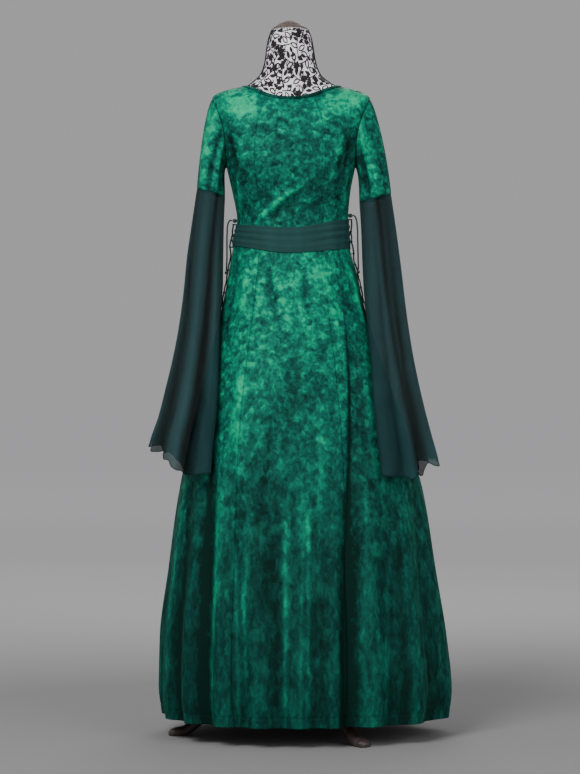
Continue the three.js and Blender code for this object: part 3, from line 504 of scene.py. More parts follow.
def outward(points, closed=False, sense=1.0):
    """Unit normals of a grid, across its rows and then along its columns, from neighbouring points."""
    if closed:
        wrapped = np.concatenate((points[:, -1:], points, points[:, :1]), axis=1)
        across = wrapped[:, 2:] - wrapped[:, :-2]
    else:
        across = np.gradient(points, axis=1)
    normal = np.cross(across, np.gradient(points, axis=0))
    return sense * normal / np.maximum(np.linalg.norm(normal, axis=-1, keepdims=True), 1e-9)


def placed(points):
    """Millimetres from the pole turned into metres in the frame."""
    return points * MM + np.array((POLE_X, POLE_Y, 0.0))


def nap_share(turn, run, folds, creases):
    """How bright the velvet is painted: painted light and shade by height, in listed spots and streaks,
    painted light on ridges and painted shade in valleys, with some of the pile's own brushing.
    """
    total = read(PAINTED_LIGHT_UP["run"], PAINTED_LIGHT_UP["share"], run) + np.zeros(np.broadcast(turn, run).shape)
    for turn_at, run_at, wide, tall, amount in LIGHT_AND_NAP_SPOTS:
        total += amount * bell(apart(turn, turn_at), wide) * bell(run - run_at, tall)
    for hem, above, top, width, amount in LIGHT_AND_SHADE_STREAKS:
        curve, left = leaning(turn, run, hem, above, top, width)
        total += amount * ease(left * 3) * curve
    ridges = np.clip(folds, 0, 12)
    valleys = np.clip(folds, -21, 0)
    return total + RIDGE_LIGHT * ridges + VALLEY_SHADE * valleys + CREASE_LIGHT_AND_SHADE * creases


# The sleeves, sash and form as surfaces

def hem_height(sleeve, place):
    """Height of a sleeve's hem round it, with its short steps."""
    rows = sleeve["hem"] + ((360, sleeve["hem"][0][1]),)
    height = eased(rows, 1, place % 360)
    for middle, width, drop in HEM_STEPS:
        height = height - drop * bell(apart(place, middle), width)
    return height


def bell_surface(sleeve, place, drop):
    """A bell sleeve: half an ellipse each way about a middle that leans forward, its folds growing with
    the drop from the seam at 0 to the hem at 1, and pushed out from the pole to clear the skirt."""
    inwards = (1 + np.cos(np.radians(place))) / 2
    top = sleeve["seam_outer"] + (sleeve["seam_inner"] - sleeve["seam_outer"]) * inwards
    z = top + (hem_height(sleeve, place) - top) * drop
    columns = ("outer", "inner", "middle", "depth")
    outer, inner, middle, depth = (read(sleeve["z"], sleeve[column], z) for column in columns)
    fold = np.zeros(z.shape)
    for at, width, deep in sleeve["folds"]:
        fold += deep * bell(apart(place, at), width)
    fold *= np.maximum(drop, 0) ** 0.9
    for from_place, to_place, start, width, deep in sleeve["creases"]:
        at = from_place + (to_place - from_place) * drop
        fold += deep * ease((drop - start) * 3) * (0.4 + 0.6 * drop) * bell(apart(place, at), width)
    near_hem = np.clip((drop - 0.8) / 0.2, 0, 1)
    for at, width, step in HEM_STEPS:
        fold += 0.8 * step * near_hem**1.3 * bell(apart(place, at), width)
    half = (outer - inner) / 2 + fold
    x = sleeve["side"] * ((outer + inner) / 2 - half * np.cos(np.radians(place)))
    y = middle - (depth + fold) * np.sin(np.radians(place))
    turn = np.degrees(np.arctan2(y, x)) + 90
    least = from_pole(gown_folded(turn, z)) + BELL_CLEAR
    grow = np.maximum(1, least / np.hypot(x, y))
    return np.stack((x * grow, y * grow, z), axis=-1)


def cap_surface(sleeve, place, way):
    """A velvet sleeve: cubic curves from the armhole's edge, out and down to the seam of the bell."""
    side = sleeve["side"]
    over = (1 - np.cos(np.radians(place))) / 2
    half = (SHOULDER - UNDERARM) / 2 - SLEEVE_EDGE["inside_run"]
    turn = side * (90 - (ARM_TURN - SLEEVE_EDGE["inside_turn"]) * np.sin(np.radians(place)))
    run = (UNDERARM + SHOULDER) / 2 - half * np.cos(np.radians(place))
    edge = gown_body(turn, run)
    start = edge - points_of(edge[..., 0], edge[..., 1], 0.0) / SLEEVE_EDGE["sunk"]
    end = bell_surface(sleeve, place, np.zeros_like(place)) + np.array((0, 0, SEAM))
    # the sleeve leaves the armhole outwards and comes down on the bell's seam from above
    leave = start + points_of(side * (8 + 9 * over), 0.0, -22 * over)
    land = end + points_of(-side * 6 * over, 0.0, 30 + 50 * over)
    way = way[..., None]
    rest = 1 - way
    return rest**3 * start + 3 * rest**2 * way * leave + 3 * rest * way**2 * land + way**3 * end


def on_waist(turn, run, lift):
    """A point of the gown near the waist, moved out along its normal by lift."""
    step = 0.5
    across = gown_folded(turn + step, run) - gown_folded(turn - step, run)
    up = gown_folded(turn, run + 1) - gown_folded(turn, run - 1)
    normal = np.cross(across, up)
    normal /= np.linalg.norm(normal, axis=-1, keepdims=True)
    return gown_folded(turn, run) + normal * np.asarray(lift)[..., None]


def smooth_path(points, spacing):
    """A centripetal Catmull-Rom curve through points, as points about spacing apart."""
    points = np.asarray(points, float)
    points = np.concatenate((2 * points[:1] - points[1:2], points, 2 * points[-1:] - points[-2:-1]))
    steps = np.sqrt(np.linalg.norm(np.diff(points, axis=0), axis=1))
    knots = np.concatenate(([0], np.cumsum(steps)))
    count = max(2, int(round(np.linalg.norm(np.diff(points[1:-1], axis=0), axis=1).sum() / spacing)))
    at = np.linspace(knots[1], knots[-2], count + 1)
    i = np.clip(np.searchsorted(knots, at, side="right") - 1, 1, len(points) - 3)
    p = [points[i + k] for k in (-1, 0, 1, 2)]
    k = [knots[i + j][:, None] for j in (-1, 0, 1, 2)]
    t = at[:, None]
    a = [((k[j + 1] - t) * p[j] + (t - k[j]) * p[j + 1]) / (k[j + 1] - k[j]) for j in (0, 1, 2)]
    b = [((k[j + 2] - t) * a[j] + (t - k[j]) * a[j + 1]) / (k[j + 2] - k[j]) for j in (0, 1)]
    return ((k[2] - t) * b[0] + (t - k[1]) * b[1]) / (k[2] - k[1])


def tube_rings(path, radius, around, lobes=0, pitch=1.0, depth=0.0):
    """A profile carried along a path: a circle, or one whose radius dips by depth between lobes that
    wind once round in each pitch. Each ring is square to the path, and is turned by the axis that the path
    follows least."""
    along = np.gradient(path, axis=0)
    along /= np.linalg.norm(along, axis=1, keepdims=True)
    side = np.cross(along, np.eye(3)[np.argmin(np.abs(along.mean(axis=0)))])
    side /= np.linalg.norm(side, axis=1, keepdims=True)
    other = np.cross(along, side)
    distance = np.concatenate(([0], np.cumsum(np.linalg.norm(np.diff(path, axis=0), axis=1))))
    angle = all_round(around)
    wind = angle * lobes / 2 - np.pi * lobes * (distance / pitch)[:, None]
    reach = radius - depth * (1 - np.abs(np.cos(wind))) if lobes else np.full((len(path), around), radius)
    circle = np.cos(angle)[..., None] * side[:, None] + np.sin(angle)[..., None] * other[:, None]
    return path[:, None] + reach[..., None] * circle


# Meshes

def set_attribute(mesh, name, values):
    """Gives the mesh one number at each point."""
    layer = mesh.attributes.new(name, "FLOAT", "POINT")
    layer.data.foreach_set("value", np.asarray(values, np.float32).reshape(-1))


def grid_faces(rows, columns, closed=False):
    """Corners of a grid's squares, turning from across to up. A closed grid joins its ends."""
    row = np.arange(rows - 1)[:, None]
    column = np.arange(columns if closed else columns - 1)[None, :]
    after = (column + 1) % columns
    return np.stack((row * columns + column, row * columns + after, (row + 1) * columns + after,
                     (row + 1) * columns + column), axis=-1).reshape(-1, 4)


def mesh_of(name, points, faces):
    """A smooth-shaded mesh from points and four-cornered faces."""
    mesh = bpy.data.meshes.new(name)
    mesh.vertices.add(len(points))
    mesh.vertices.foreach_set("co", points.reshape(-1).astype(np.float32))
    mesh.loops.add(faces.size)
    mesh.loops.foreach_set("vertex_index", faces.reshape(-1).astype(np.int32))
    mesh.polygons.add(len(faces))
    mesh.polygons.foreach_set("loop_start", np.arange(0, faces.size, 4, dtype=np.int32))
    mesh.polygons.foreach_set("loop_total", np.full(len(faces), 4, dtype=np.int32))
    mesh.polygons.foreach_set("use_smooth", np.ones(len(faces), dtype=bool))
    mesh.update(calc_edges=True)
    return mesh


def grid_mesh(name, points, closed=False, flip=False, **attributes):
    """A mesh over a grid of points, with a float attribute for each array given."""
    rows, columns = points.shape[:2]
    faces = grid_faces(rows, columns, closed)
    mesh = mesh_of(name, points.reshape(-1, 3), faces[:, ::-1] if flip else faces)
    for key, values in attributes.items():
        set_attribute(mesh, key, np.broadcast_to(values, (rows, columns)))
    return mesh


def grids_mesh(name, grids, closed=False, flip=False):
    """One mesh of several grids."""
    points = []
    faces = []
    start = 0
    for grid in grids:
        squares = grid_faces(*grid.shape[:2], closed) + start
        faces.append(squares[:, ::-1] if flip else squares)
        points.append(grid.reshape(-1, 3))
        start += grid.shape[0] * grid.shape[1]
    return mesh_of(name, np.concatenate(points), np.concatenate(faces))


def capped(rings):
    """Closed rings with a row drawn together at each end, so that the welded mesh is closed."""
    first = np.broadcast_to(rings[:1].mean(axis=1, keepdims=True), rings[:1].shape)
    last = np.broadcast_to(rings[-1:].mean(axis=1, keepdims=True), rings[-1:].shape)
    return np.concatenate((first, rings, last))


def lathed(profile, around, depth=1.0):
    """A profile of radius and height turned about the pole, deep as a share of its width."""
    angle = all_round(around)
    radius, height = np.array(profile, float).T[:, :, None]
    return points_of(radius * np.cos(angle), depth * radius * np.sin(angle), height)


def weld(mesh):
    """Merges points that lie together, drops the empty faces and turns every face outwards."""
    work = bmesh.new()
    work.from_mesh(mesh)
    bmesh.ops.remove_doubles(work, verts=work.verts, dist=1e-6)
    bmesh.ops.recalc_face_normals(work, faces=work.faces)
    work.to_mesh(mesh)
    work.free()
    return mesh


def welded(name, grid, **attributes):
    """A closed grid as a closed mesh."""
    return weld(grid_mesh(name, grid, True, **attributes))


def piece(name, mesh, material, nodes=(), wall=0.0):
    """A finished piece, which rides on the one body and stands for the solids it is named for."""
    obj = bpy.data.objects.new(name, mesh)
    bpy.context.scene.collection.objects.link(obj)
    mesh.materials.append(material)
    if wall:
        shell = obj.modifiers.new("wall", "SOLIDIFY")
        shell.thickness = wall
        shell.offset = -1.0
    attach(obj, "root")
    if nodes:
        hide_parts(*nodes)
    return obj


def as_cloth(points, closed=False):
    """Takes a grid of cloth, with its first column added again at its end when it is closed; nothing more is
    done with it."""
    if closed:
        points = np.concatenate((points, points[:, :1]), axis=1)


# Materials

def linear(code):
    """An sRGB hex colour such as 1d6b55 as linear red, green, blue and alpha."""
    parts = [int(code[i:i + 2], 16) / 255 for i in (0, 2, 4)]
    return tuple(c / 12.92 if c <= 0.04045 else ((c + 0.055) / 1.055) ** 2.4 for c in parts) + (1.0,)


def node(tree, kind, inputs=None, stops=(), **settings):
    """Adds a node, sets its fields, gives each named input a value or another node's socket, and a colour
    ramp its stops of a place and a colour, in sRGB hex or as linear numbers."""
    made = tree.nodes.new(kind)
    for field, value in settings.items():
        setattr(made, field, value)
    for name, value in (inputs or {}).items():
        if isinstance(value, bpy.types.NodeSocket):
            tree.links.new(value, made.inputs[name])
        else:
            made.inputs[name].default_value = value
    if stops:
        marks = made.color_ramp.elements
        while len(marks) < len(stops):
            marks.new(0.5)
        for mark, (place, code) in zip(marks, stops):
            mark.position = place
            mark.color = linear(code) if isinstance(code, str) else code
    return made


def fresh(name, **values):
    """A new material with one Principled shader, and the shader's own values by socket name."""
    material = bpy.data.materials.new(name)
    material.use_nodes = True
    tree = material.node_tree
    tree.nodes.clear()
    shader = node(tree, "ShaderNodeBsdfPrincipled")
    node(tree, "ShaderNodeOutputMaterial", {"Surface": shader.outputs["BSDF"]})
    for key, value in values.items():
        shader.inputs[key.replace("_", " ")].default_value = value
    return material, tree, shader, node(tree, "ShaderNodeTexCoord").outputs["Object"]


def finish(tree, shader, pattern, stops, height, distance, strength):
    """Colours the shader by a pattern through a colour ramp, and lets a height stand proud of its face."""
    colour = node(tree, "ShaderNodeValToRGB", {"Fac": pattern}, stops)
    tree.links.new(colour.outputs["Color"], shader.inputs["Base Color"])
    bump = node(tree, "ShaderNodeBump", {"Height": height, "Distance": distance, "Strength": strength})
    tree.links.new(bump.outputs[0], shader.inputs["Normal"])


def crushed_velvet(name, nap_offset=0.0):
    """Polyester crushed velvet. Its pile lies flat in patches a thumb wide, so each patch is bright or
    dark by itself, with crumbs of a few millimetres in them. Low on the skirt the patches are drawn out
    along the cloth. The nap attribute adds painted light and shade: brighter or darker by height and in
    listed spots, brighter on ridges and darker in valleys and creases, with some of the pile's own brushing."""
    material, tree, shader, place = fresh(name, Specular_IOR_Level=0.1, Sheen_Weight=0.04,
                                          Sheen_Roughness=0.3, Sheen_Tint=linear("1fc48d"))
    height = node(tree, "ShaderNodeSeparateXYZ", {"Vector": place}).outputs["Z"]
    # the pattern is bent by about 8 mm, so that no patch has a straight edge
    bend = node(tree, "ShaderNodeTexNoise", {"Vector": place, "Scale": 60.0, "Detail": 4.0}).outputs["Color"]
    moved = node(tree, "ShaderNodeVectorMath", {0: bend, 1: (0.016, 0.016, 0.016), 2: place},
                 operation="MULTIPLY_ADD").outputs[0]
    climb = node(tree, "ShaderNodeMapRange", {"Value": height, "From Min": 0.35,
                                              "From Max": 0.95}).outputs[0]
    long = node(tree, "ShaderNodeMapping", {"Vector": moved, "Scale": (1.0, 1.0, 0.38)}).outputs[0]
    # the round pattern is lowered so that the two meet without a squash where they give way to each other
    drop = node(tree, "ShaderNodeMath", {0: climb, 1: -0.186, 2: -0.217},
                operation="MULTIPLY_ADD").outputs[0]
    lower = node(tree, "ShaderNodeCombineXYZ", {"Z": drop}).outputs[0]
    high = node(tree, "ShaderNodeVectorMath", {0: moved, 1: lower}, operation="ADD").outputs[0]
    way = node(tree, "ShaderNodeMix", {4: long, 5: high, "Factor": climb}, data_type="VECTOR").outputs[1]
    facet = node(tree, "ShaderNodeTexVoronoi", {"Vector": way, "Scale": 78.0, "Smoothness": 0.8},
                 feature="SMOOTH_F1").outputs["Color"]
    facet = node(tree, "ShaderNodeSeparateXYZ", {"Vector": facet}).outputs["X"]
    patch = node(tree, "ShaderNodeTexNoise", {"Vector": way, "Scale": 40.0, "Detail": 4.0,
                                              "Roughness": 0.6}).outputs["Fac"]
    crumb = node(tree, "ShaderNodeTexNoise", {"Vector": way, "Scale": 130.0, "Detail": 4.0,
                                              "Roughness": 0.55}).outputs["Fac"]
    broad = node(tree, "ShaderNodeTexNoise", {"Vector": place, "Scale": 9.0, "Detail": 2.0}).outputs["Fac"]
    # the nap is the sum of these patterns about its middle, calmer low on the skirt, plus the attribute's
    # painted light and shade
    nap = -0.15
    for pattern, amount in ((facet, 0.3), (patch, 0.4), (crumb, 0.72), (broad, 0.16)):
        nap = node(tree, "ShaderNodeMath", {0: pattern, 1: amount, 2: nap},
                   operation="MULTIPLY_ADD").outputs[0]
    nap = node(tree, "ShaderNodeMath", {0: nap, 1: 0.64}, operation="SUBTRACT").outputs[0]
    calm = node(tree, "ShaderNodeMapRange", {"Value": climb, "To Min": 0.65, "To Max": 1.0}).outputs[0]
    # the attribute holds painted light and shade, with some brushing of the pile
    lit_and_brushed = node(tree, "ShaderNodeAttribute", attribute_name="nap").outputs["Fac"]
    nap = node(tree, "ShaderNodeMath", {0: nap, 1: calm, 2: lit_and_brushed}, operation="MULTIPLY_ADD").outputs[0]
    nap = node(tree, "ShaderNodeMath", {0: nap, 1: nap_offset}, operation="ADD").outputs[0]
    rough = node(tree, "ShaderNodeMapRange", {"Value": nap, "From Min": 0.2, "From Max": 0.8, "To Min": 0.8,
                                              "To Max": 0.45})
    tree.links.new(rough.outputs[0], shader.inputs["Roughness"])
    pile = node(tree, "ShaderNodeTexNoise", {"Vector": place, "Scale": 900.0, "Detail": 2.0}).outputs["Fac"]
    rise = node(tree, "ShaderNodeMath", {0: pile, 1: 0.1, 2: nap}, operation="MULTIPLY_ADD").outputs[0]
    finish(tree, shader, nap, ((0.12, "02231d"), (0.3, "023a33"), (0.46, "015648"), (0.6, "00785d"),
                               (0.74, "009f72"), (0.95, "00b981")), rise, 0.004, 0.6)
    return material


def chiffon(name, colours, alpha):
    """Polyester chiffon: a thin plain weave of twisted yarn with a dry, matt face that shows what lies
    behind it. The weave is drawn at 1.2 mm, three times as coarse as it is, so that it can show."""
    material, tree, shader, place = fresh(name, Roughness=0.8, Specular_IOR_Level=0.12, Sheen_Weight=0.12,
                                          Sheen_Roughness=0.5, Sheen_Tint=linear("4f8a84"), Alpha=alpha)
    thread = 2 * math.pi / (1.2 * MM) / 20
    across, up = (node(tree, "ShaderNodeTexWave", {"Vector": place, "Scale": thread, "Distortion": 0.6},
                       wave_type="BANDS", bands_direction=way).outputs["Fac"] for way in ("X", "Z"))
    weave = node(tree, "ShaderNodeMath", {0: across, 1: up}, operation="MULTIPLY").outputs[0]
    hang = node(tree, "ShaderNodeMapping", {"Vector": place, "Scale": (1.0, 1.0, 0.12)}).outputs[0]
    streak = node(tree, "ShaderNodeTexNoise", {"Vector": hang, "Scale": 34.0, "Detail": 3.0}).outputs["Fac"]
    # the nap attribute holds painted light on the ridges of the folds and painted shade in their valleys
    shade = node(tree, "ShaderNodeAttribute", attribute_name="nap").outputs["Fac"]
    for pattern, amount in ((streak, 0.5), (weave, 0.08)):
        shade = node(tree, "ShaderNodeMath", {0: pattern, 1: amount, 2: shade},
                     operation="MULTIPLY_ADD").outputs[0]
    shade = node(tree, "ShaderNodeMath", {0: shade, 1: 0.25}, operation="SUBTRACT").outputs[0]
    finish(tree, shader, shade, tuple(zip((0.1, 0.4, 0.62, 0.9), colours)), weave, 0.0004, 0.5)
    return material


def twisted_cord(name):
    """Rayon cord: three twisted yarns whose fine fibres catch a little light along them."""
    material, tree, shader, place = fresh(name, Roughness=0.6, Specular_IOR_Level=0.3, Sheen_Weight=0.3)
    fibre = node(tree, "ShaderNodeTexNoise", {"Vector": place, "Scale": 700.0, "Detail": 3.0}).outputs["Fac"]
    finish(tree, shader, fibre, ((0.3, "07201c"), (0.7, "1f423b")), fibre, 0.0005, 0.6)
    return material


def knitted_jersey(name):
    """White cotton jersey, stretched over the form: fine ribs of stitches and a soft matt face. Its
    stitches are drawn at 1.6 mm, twice as coarse as they are, so that they can show."""
    material, tree, shader, place = fresh(name, Roughness=0.85, Specular_IOR_Level=0.2, Sheen_Weight=0.15)
    rib = node(tree, "ShaderNodeTexVoronoi", {"Vector": place, "Scale": 1 / (1.6 * MM)}).outputs["Distance"]
    soft = node(tree, "ShaderNodeTexNoise", {"Vector": place, "Scale": 30.0, "Detail": 3.0}).outputs["Fac"]
    tone = node(tree, "ShaderNodeMath", {0: rib, 1: -0.35, 2: soft}, operation="MULTIPLY_ADD").outputs[0]
    finish(tree, shader, tone, ((0.15, "e0dce1"), (0.42, "f6f3f6"), (0.7, "ffffff")), rib, 0.0004, 0.4)
    return material


def black_lace(name):
    """Machine-made polyester lace: dull black yarn, filled densely in the motifs."""
    material, tree, shader, place = fresh(name, Roughness=0.7, Specular_IOR_Level=0.25)
    yarn = node(tree, "ShaderNodeTexNoise", {"Vector": place, "Scale": 900.0, "Detail": 2.0}).outputs["Fac"]
    finish(tree, shader, yarn, ((0.3, "141114"), (0.7, "2f2a2e")), yarn, 0.0004, 0.5)
    return material


def stained_wood(name, colours, roughness):
    """Turned beech under a stain and satin lacquer: long grain, a little darker in the pores."""
    material, tree, shader, place = fresh(name, Roughness=roughness, Coat_Weight=0.15, Coat_Roughness=0.35)
    grain = node(tree, "ShaderNodeMapping", {"Vector": place, "Scale": (1.0, 1.0, 0.15)}).outputs[0]
    figure = node(tree, "ShaderNodeTexNoise", {"Vector": grain, "Scale": 90.0, "Detail": 5.0,
                                               "Roughness": 0.65}).outputs["Fac"]
    finish(tree, shader, figure, tuple(zip((0.25, 0.5, 0.75), colours)), figure, 0.0006, 0.35)
    return material


def floor_with_painted_light(name, near, edge):
    """Matt studio paint, whose colour is painted paler past the lights until it meets the sky, as painted
    light where the lamps no longer reach. The far attribute is the distance in metres."""
    material, tree, shader, _ = fresh(name, Roughness=0.95, Specular_IOR_Level=0.1)
    far = node(tree, "ShaderNodeAttribute", attribute_name="far").outputs["Fac"]
    share = node(tree, "ShaderNodeMapRange", {"Value": far, "From Max": 10.0}).outputs[0]
    # painted light: the colour grows paler with distance from the pole
    colour = node(tree, "ShaderNodeValToRGB", {"Fac": share},
                  ((0.1, near), (0.24, edge), (0.5, "e9e9ea"), (1.0, "fdfdfe")))
    tree.links.new(colour.outputs["Color"], shader.inputs["Base Color"])
    return material


# Settings

def length_setting(name, description, default):
    """A length in metres."""
    return FloatProperty(name=name, description=description, default=default, min=0, precision=4,
                         unit="LENGTH")


def power_setting(name, description, default):
    """A lamp's power in watts."""
    return FloatProperty(name=name, description=description, default=default, min=0, unit="POWER")


def count_setting(name, description, default, least):
    """A number of rows or columns."""
    return IntProperty(name=name, description=description, default=default, min=least)


def colour_setting(name, description, code):
    """A colour from its sRGB hex value."""
    return FloatVectorProperty(name=name, description=description, default=linear(code)[:3], subtype="COLOR",
                               min=0, max=1, size=3)


class GownClothSettings(bpy.types.PropertyGroup):
    """Sizes of the cloth and how finely its surfaces are drawn"""
    centre_columns: count_setting("Centre columns", "Columns across a centre panel", 72, 12)
    side_columns: count_setting("Side columns", "Columns across a side panel", 76, 12)
    skirt_rows: count_setting("Skirt rows", "Rows from just above the hem to the underarm", 138, 40)
    sleeve_columns: count_setting("Sleeve columns", "Columns round a sleeve", 192, 32)
    velvet_wall: length_setting("Velvet", "Thickness of the velvet", 1.4 * MM)
    chiffon_wall: length_setting("Chiffon", "Thickness of the chiffon, drawn thick enough to show", 0.7 * MM)
    sash_wall: length_setting("Sash", "Thickness of the doubled sash", 1.1 * MM)
    seam_depth: length_setting("Seam depth", "How far a sewn edge is drawn in", 0.6 * MM)
    sheer: FloatProperty(name="Chiffon cover", description="How much one face of the chiffon covers",
                         default=0.62, min=0, max=1, subtype="FACTOR")


class GownColourSettings(bpy.types.PropertyGroup):
    """Colours of the chiffon and of the floor: the chiffon's shaded and lit colours are painted shade in its
    folds and painted light on its ridges, and the floor further off is painted paler as painted light
    """
    chiffon_shaded: colour_setting("Chiffon deep", "Chiffon in the folds", "071a1b")
    chiffon_lit: colour_setting("Chiffon light", "Chiffon on the ridges", "284b4e")
    sash_shaded: colour_setting("Sash deep", "Sash in its folds", "12302f")
    sash_lit: colour_setting("Sash light", "Sash on its ridges", "284c4a")
    floor: colour_setting("Floor", "Painted studio floor", "8f8e8f")
    edge: colour_setting("Floor further off", "Floor past the lights, where it starts to pale", "b8b7b8")


class GownStageSettings(bpy.types.PropertyGroup):
    """Camera and light of the stage"""
    camera_distance: length_setting("Camera distance", "From the pole to the camera", 5.5)
    camera_height: length_setting("Camera height", "Above the floor", 0.796)
    frame_height: length_setting("Frame height", "Height seen at the pole", 1.78)
    floor_radius: length_setting("Floor", "From the pole to the floor's edge", 60.0)
    key_power: power_setting("Key light", "Power of the key light", 150)
    fill_power: power_setting("Fill light", "Power of the fill light", 60)
    rim_power: power_setting("Rim light", "Power of the light behind", 40)


def between(low, high, shares):
    """Colours between two, as red, green, blue and alpha."""
    return [tuple(a + (b - a) * share for a, b in zip(low, high)) + (1.0,) for share in shares]


# Velvet

def panel_rows(skirt_rows):
    """Runs of a panel's rows, closer at the turned hem, and their place round the armhole, from 0 below it
    to 180 above it."""
    turned = HEM + 30
    below = np.concatenate((np.linspace(HEM, turned, 16), np.linspace(turned, UNDERARM, skirt_rows)[1:]))
    place = np.linspace(0, 180, 45)[1:]
    beside = (UNDERARM + SHOULDER) / 2 - (SHOULDER - UNDERARM) / 2 * np.cos(np.radians(place))
    above = np.linspace(SHOULDER, NECKLINE, 22)[1:]
    return np.concatenate((below, beside, above)), np.concatenate((0 * below, place, 0 * above + 180))


def edge_turn(edge, runs, places):
    """Turn of a cut edge: the long seams narrow to the hem, and the side edges give way to the armhole."""
    climb = np.clip((runs - HEM) / (WAIST - HEM), 0, 1)
    seam = SEAM_TURN_HEM + (SEAM_TURN_TOP - SEAM_TURN_HEM) * climb
    hole = ARM_TURN * np.sin(np.radians(places))
    return {
        "front_left": -seam, "front_right": seam,
        "side_right_front": 90 - hole, "side_right_back": 90 + hole,
        "back_right": 180 - seam, "back_left": 180 + seam,
        "side_left_back": 270 - hole, "side_left_front": -90 + hole,
    }[edge]


class GOWN_OT_panels(bpy.types.Operator):
    """Cuts the six velvet panels as thin shells with their folds, creases and drawn-in seams"""
    bl_idname = "gown.panels"
    bl_label = "Velvet panels"

    def execute(self, context):
        cloth = context.scene.gown_cloth
        velvet = crushed_velvet("crushed velvet")
        runs, places = panel_rows(cloth.skirt_rows)
        for name, (first, last) in PANELS.items():
            start = edge_turn(first, runs, places)
            end = edge_turn(last, runs, places)
            end = end + 360 * (end[0] < start[0])
            inset = np.degrees(SEAM / 2 / from_pole(gown_body(start, runs)))
            columns = cloth.centre_columns if "centre" in name else cloth.side_columns
            share = np.linspace(0, 1, columns)[None, :]
            turn = (start + inset)[:, None] + (end - start - 2 * inset)[:, None] * share
            run = np.broadcast_to(runs[:, None], turn.shape)
            body = gown_body(turn, run)
            width = np.linalg.norm(np.diff(body, axis=1), axis=-1).sum(axis=1, keepdims=True)
            folds, creases = gown_relief(turn, run)
            seam = bell(np.minimum(share, 1 - share) * width, SEAM_WIDE)
            stitched = HEM_STITCH["deep"] * bell(run - HEM - HEM_STITCH["up"], HEM_STITCH["wide"])
            extra = folds + creases - seam * cloth.seam_depth / MM - stitched - VELVET_INSIDE
            points = placed(gown_body(turn, run, extra))
            # painted light and shade by height, in listed spots and streaks, on ridges and in valleys, and
            # darker at sewn edges
            nap = nap_share(turn, run, folds, creases) - NAP_SEAM * seam
            mesh = grid_mesh(f"velvet_{name}", points, nap=nap)
            obj = piece(f"velvet_{name}", mesh, velvet, (name,), cloth.velvet_wall)
            as_cloth(points)
        return {"FINISHED"}


class GOWN_OT_velvet_sleeves(bpy.types.Operator):
    """Sets the velvet sleeves into the armholes"""
    bl_idname = "gown.velvet_sleeves"
    bl_label = "Velvet sleeves"

    def execute(self, context):
        cloth = context.scene.gown_cloth
        velvet = bpy.data.materials["crushed velvet"]
        place, way = np.broadcast_arrays(all_round(cloth.sleeve_columns, 360), climbing(0, 1, 64))
        for name, sleeve in SLEEVES.items():
            base = cap_surface(sleeve, place, way)
            sense = -sleeve["side"]
            relief = np.zeros(place.shape)
            for at_top, at_seam, width, depth in sleeve["cap_creases"]:
                at = at_top + (at_seam - at_top) * way
                relief += depth * ease(way * 4) * ease((1.1 - way) * 4) * bell(apart(place, at), width)
            sewn = bell(way * SLEEVE_LONG, 4.0) + bell((1 - way) * SLEEVE_LONG, 3.0)
            points = placed(base + outward(base, True, sense) * (relief - 1.2 * sewn)[..., None])
            # painted light on the raised creases and painted shade in the sunk ones, darker at the sewn
            # edges, and painted highlight and shade in the listed spots
            nap = 0.5 + 0.016 * relief - 0.14 * sewn
            for at, down, width, amount in sleeve["cap_light_and_shade_spots"]:
                nap = nap + amount * bell(apart(place, at), width) * bell(way - down, 0.4)
            mesh = grid_mesh(f"sleeve_velvet_{name}", points, True, flip=sense < 0, nap=nap)
            obj = piece(f"sleeve_velvet_{name}", mesh, velvet, (f"velvet_sleeve_{name}",),
                        cloth.velvet_wall)
            as_cloth(points, closed=True)
        return {"FINISHED"}


class GOWN_OT_binding(bpy.types.Operator):
    """Rolls the narrow binding over the neckline's edge"""
    bl_idname = "gown.binding"
    bl_label = "Neck binding"

    def execute(self, context):
        turn, across = np.broadcast_arrays(all_round(300, 360), climbing(0, 1, 11))
        base = gown_body(turn, BINDING["low"] + BINDING["wide"] * across)
        stitches = 0.12 * np.sin(np.radians(turn * BINDING["stitches"]))
        lift = 1.1 + 1.1 * np.sin(np.pi * across) ** 0.6 + stitches
        points = placed(base + outward(base, True) * lift[..., None])
        # painted light along the middle of the binding, where its roll stands out most
        mesh = grid_mesh("binding", points, True, nap=0.34 + 0.08 * np.sin(np.pi * across))
        velvet = crushed_velvet("velvet binding", -0.05)
        obj = piece("binding", mesh, velvet, ("neck_binding",), BINDING["wall"] * MM)
        as_cloth(points, closed=True)
        return {"FINISHED"}


# Chiffon

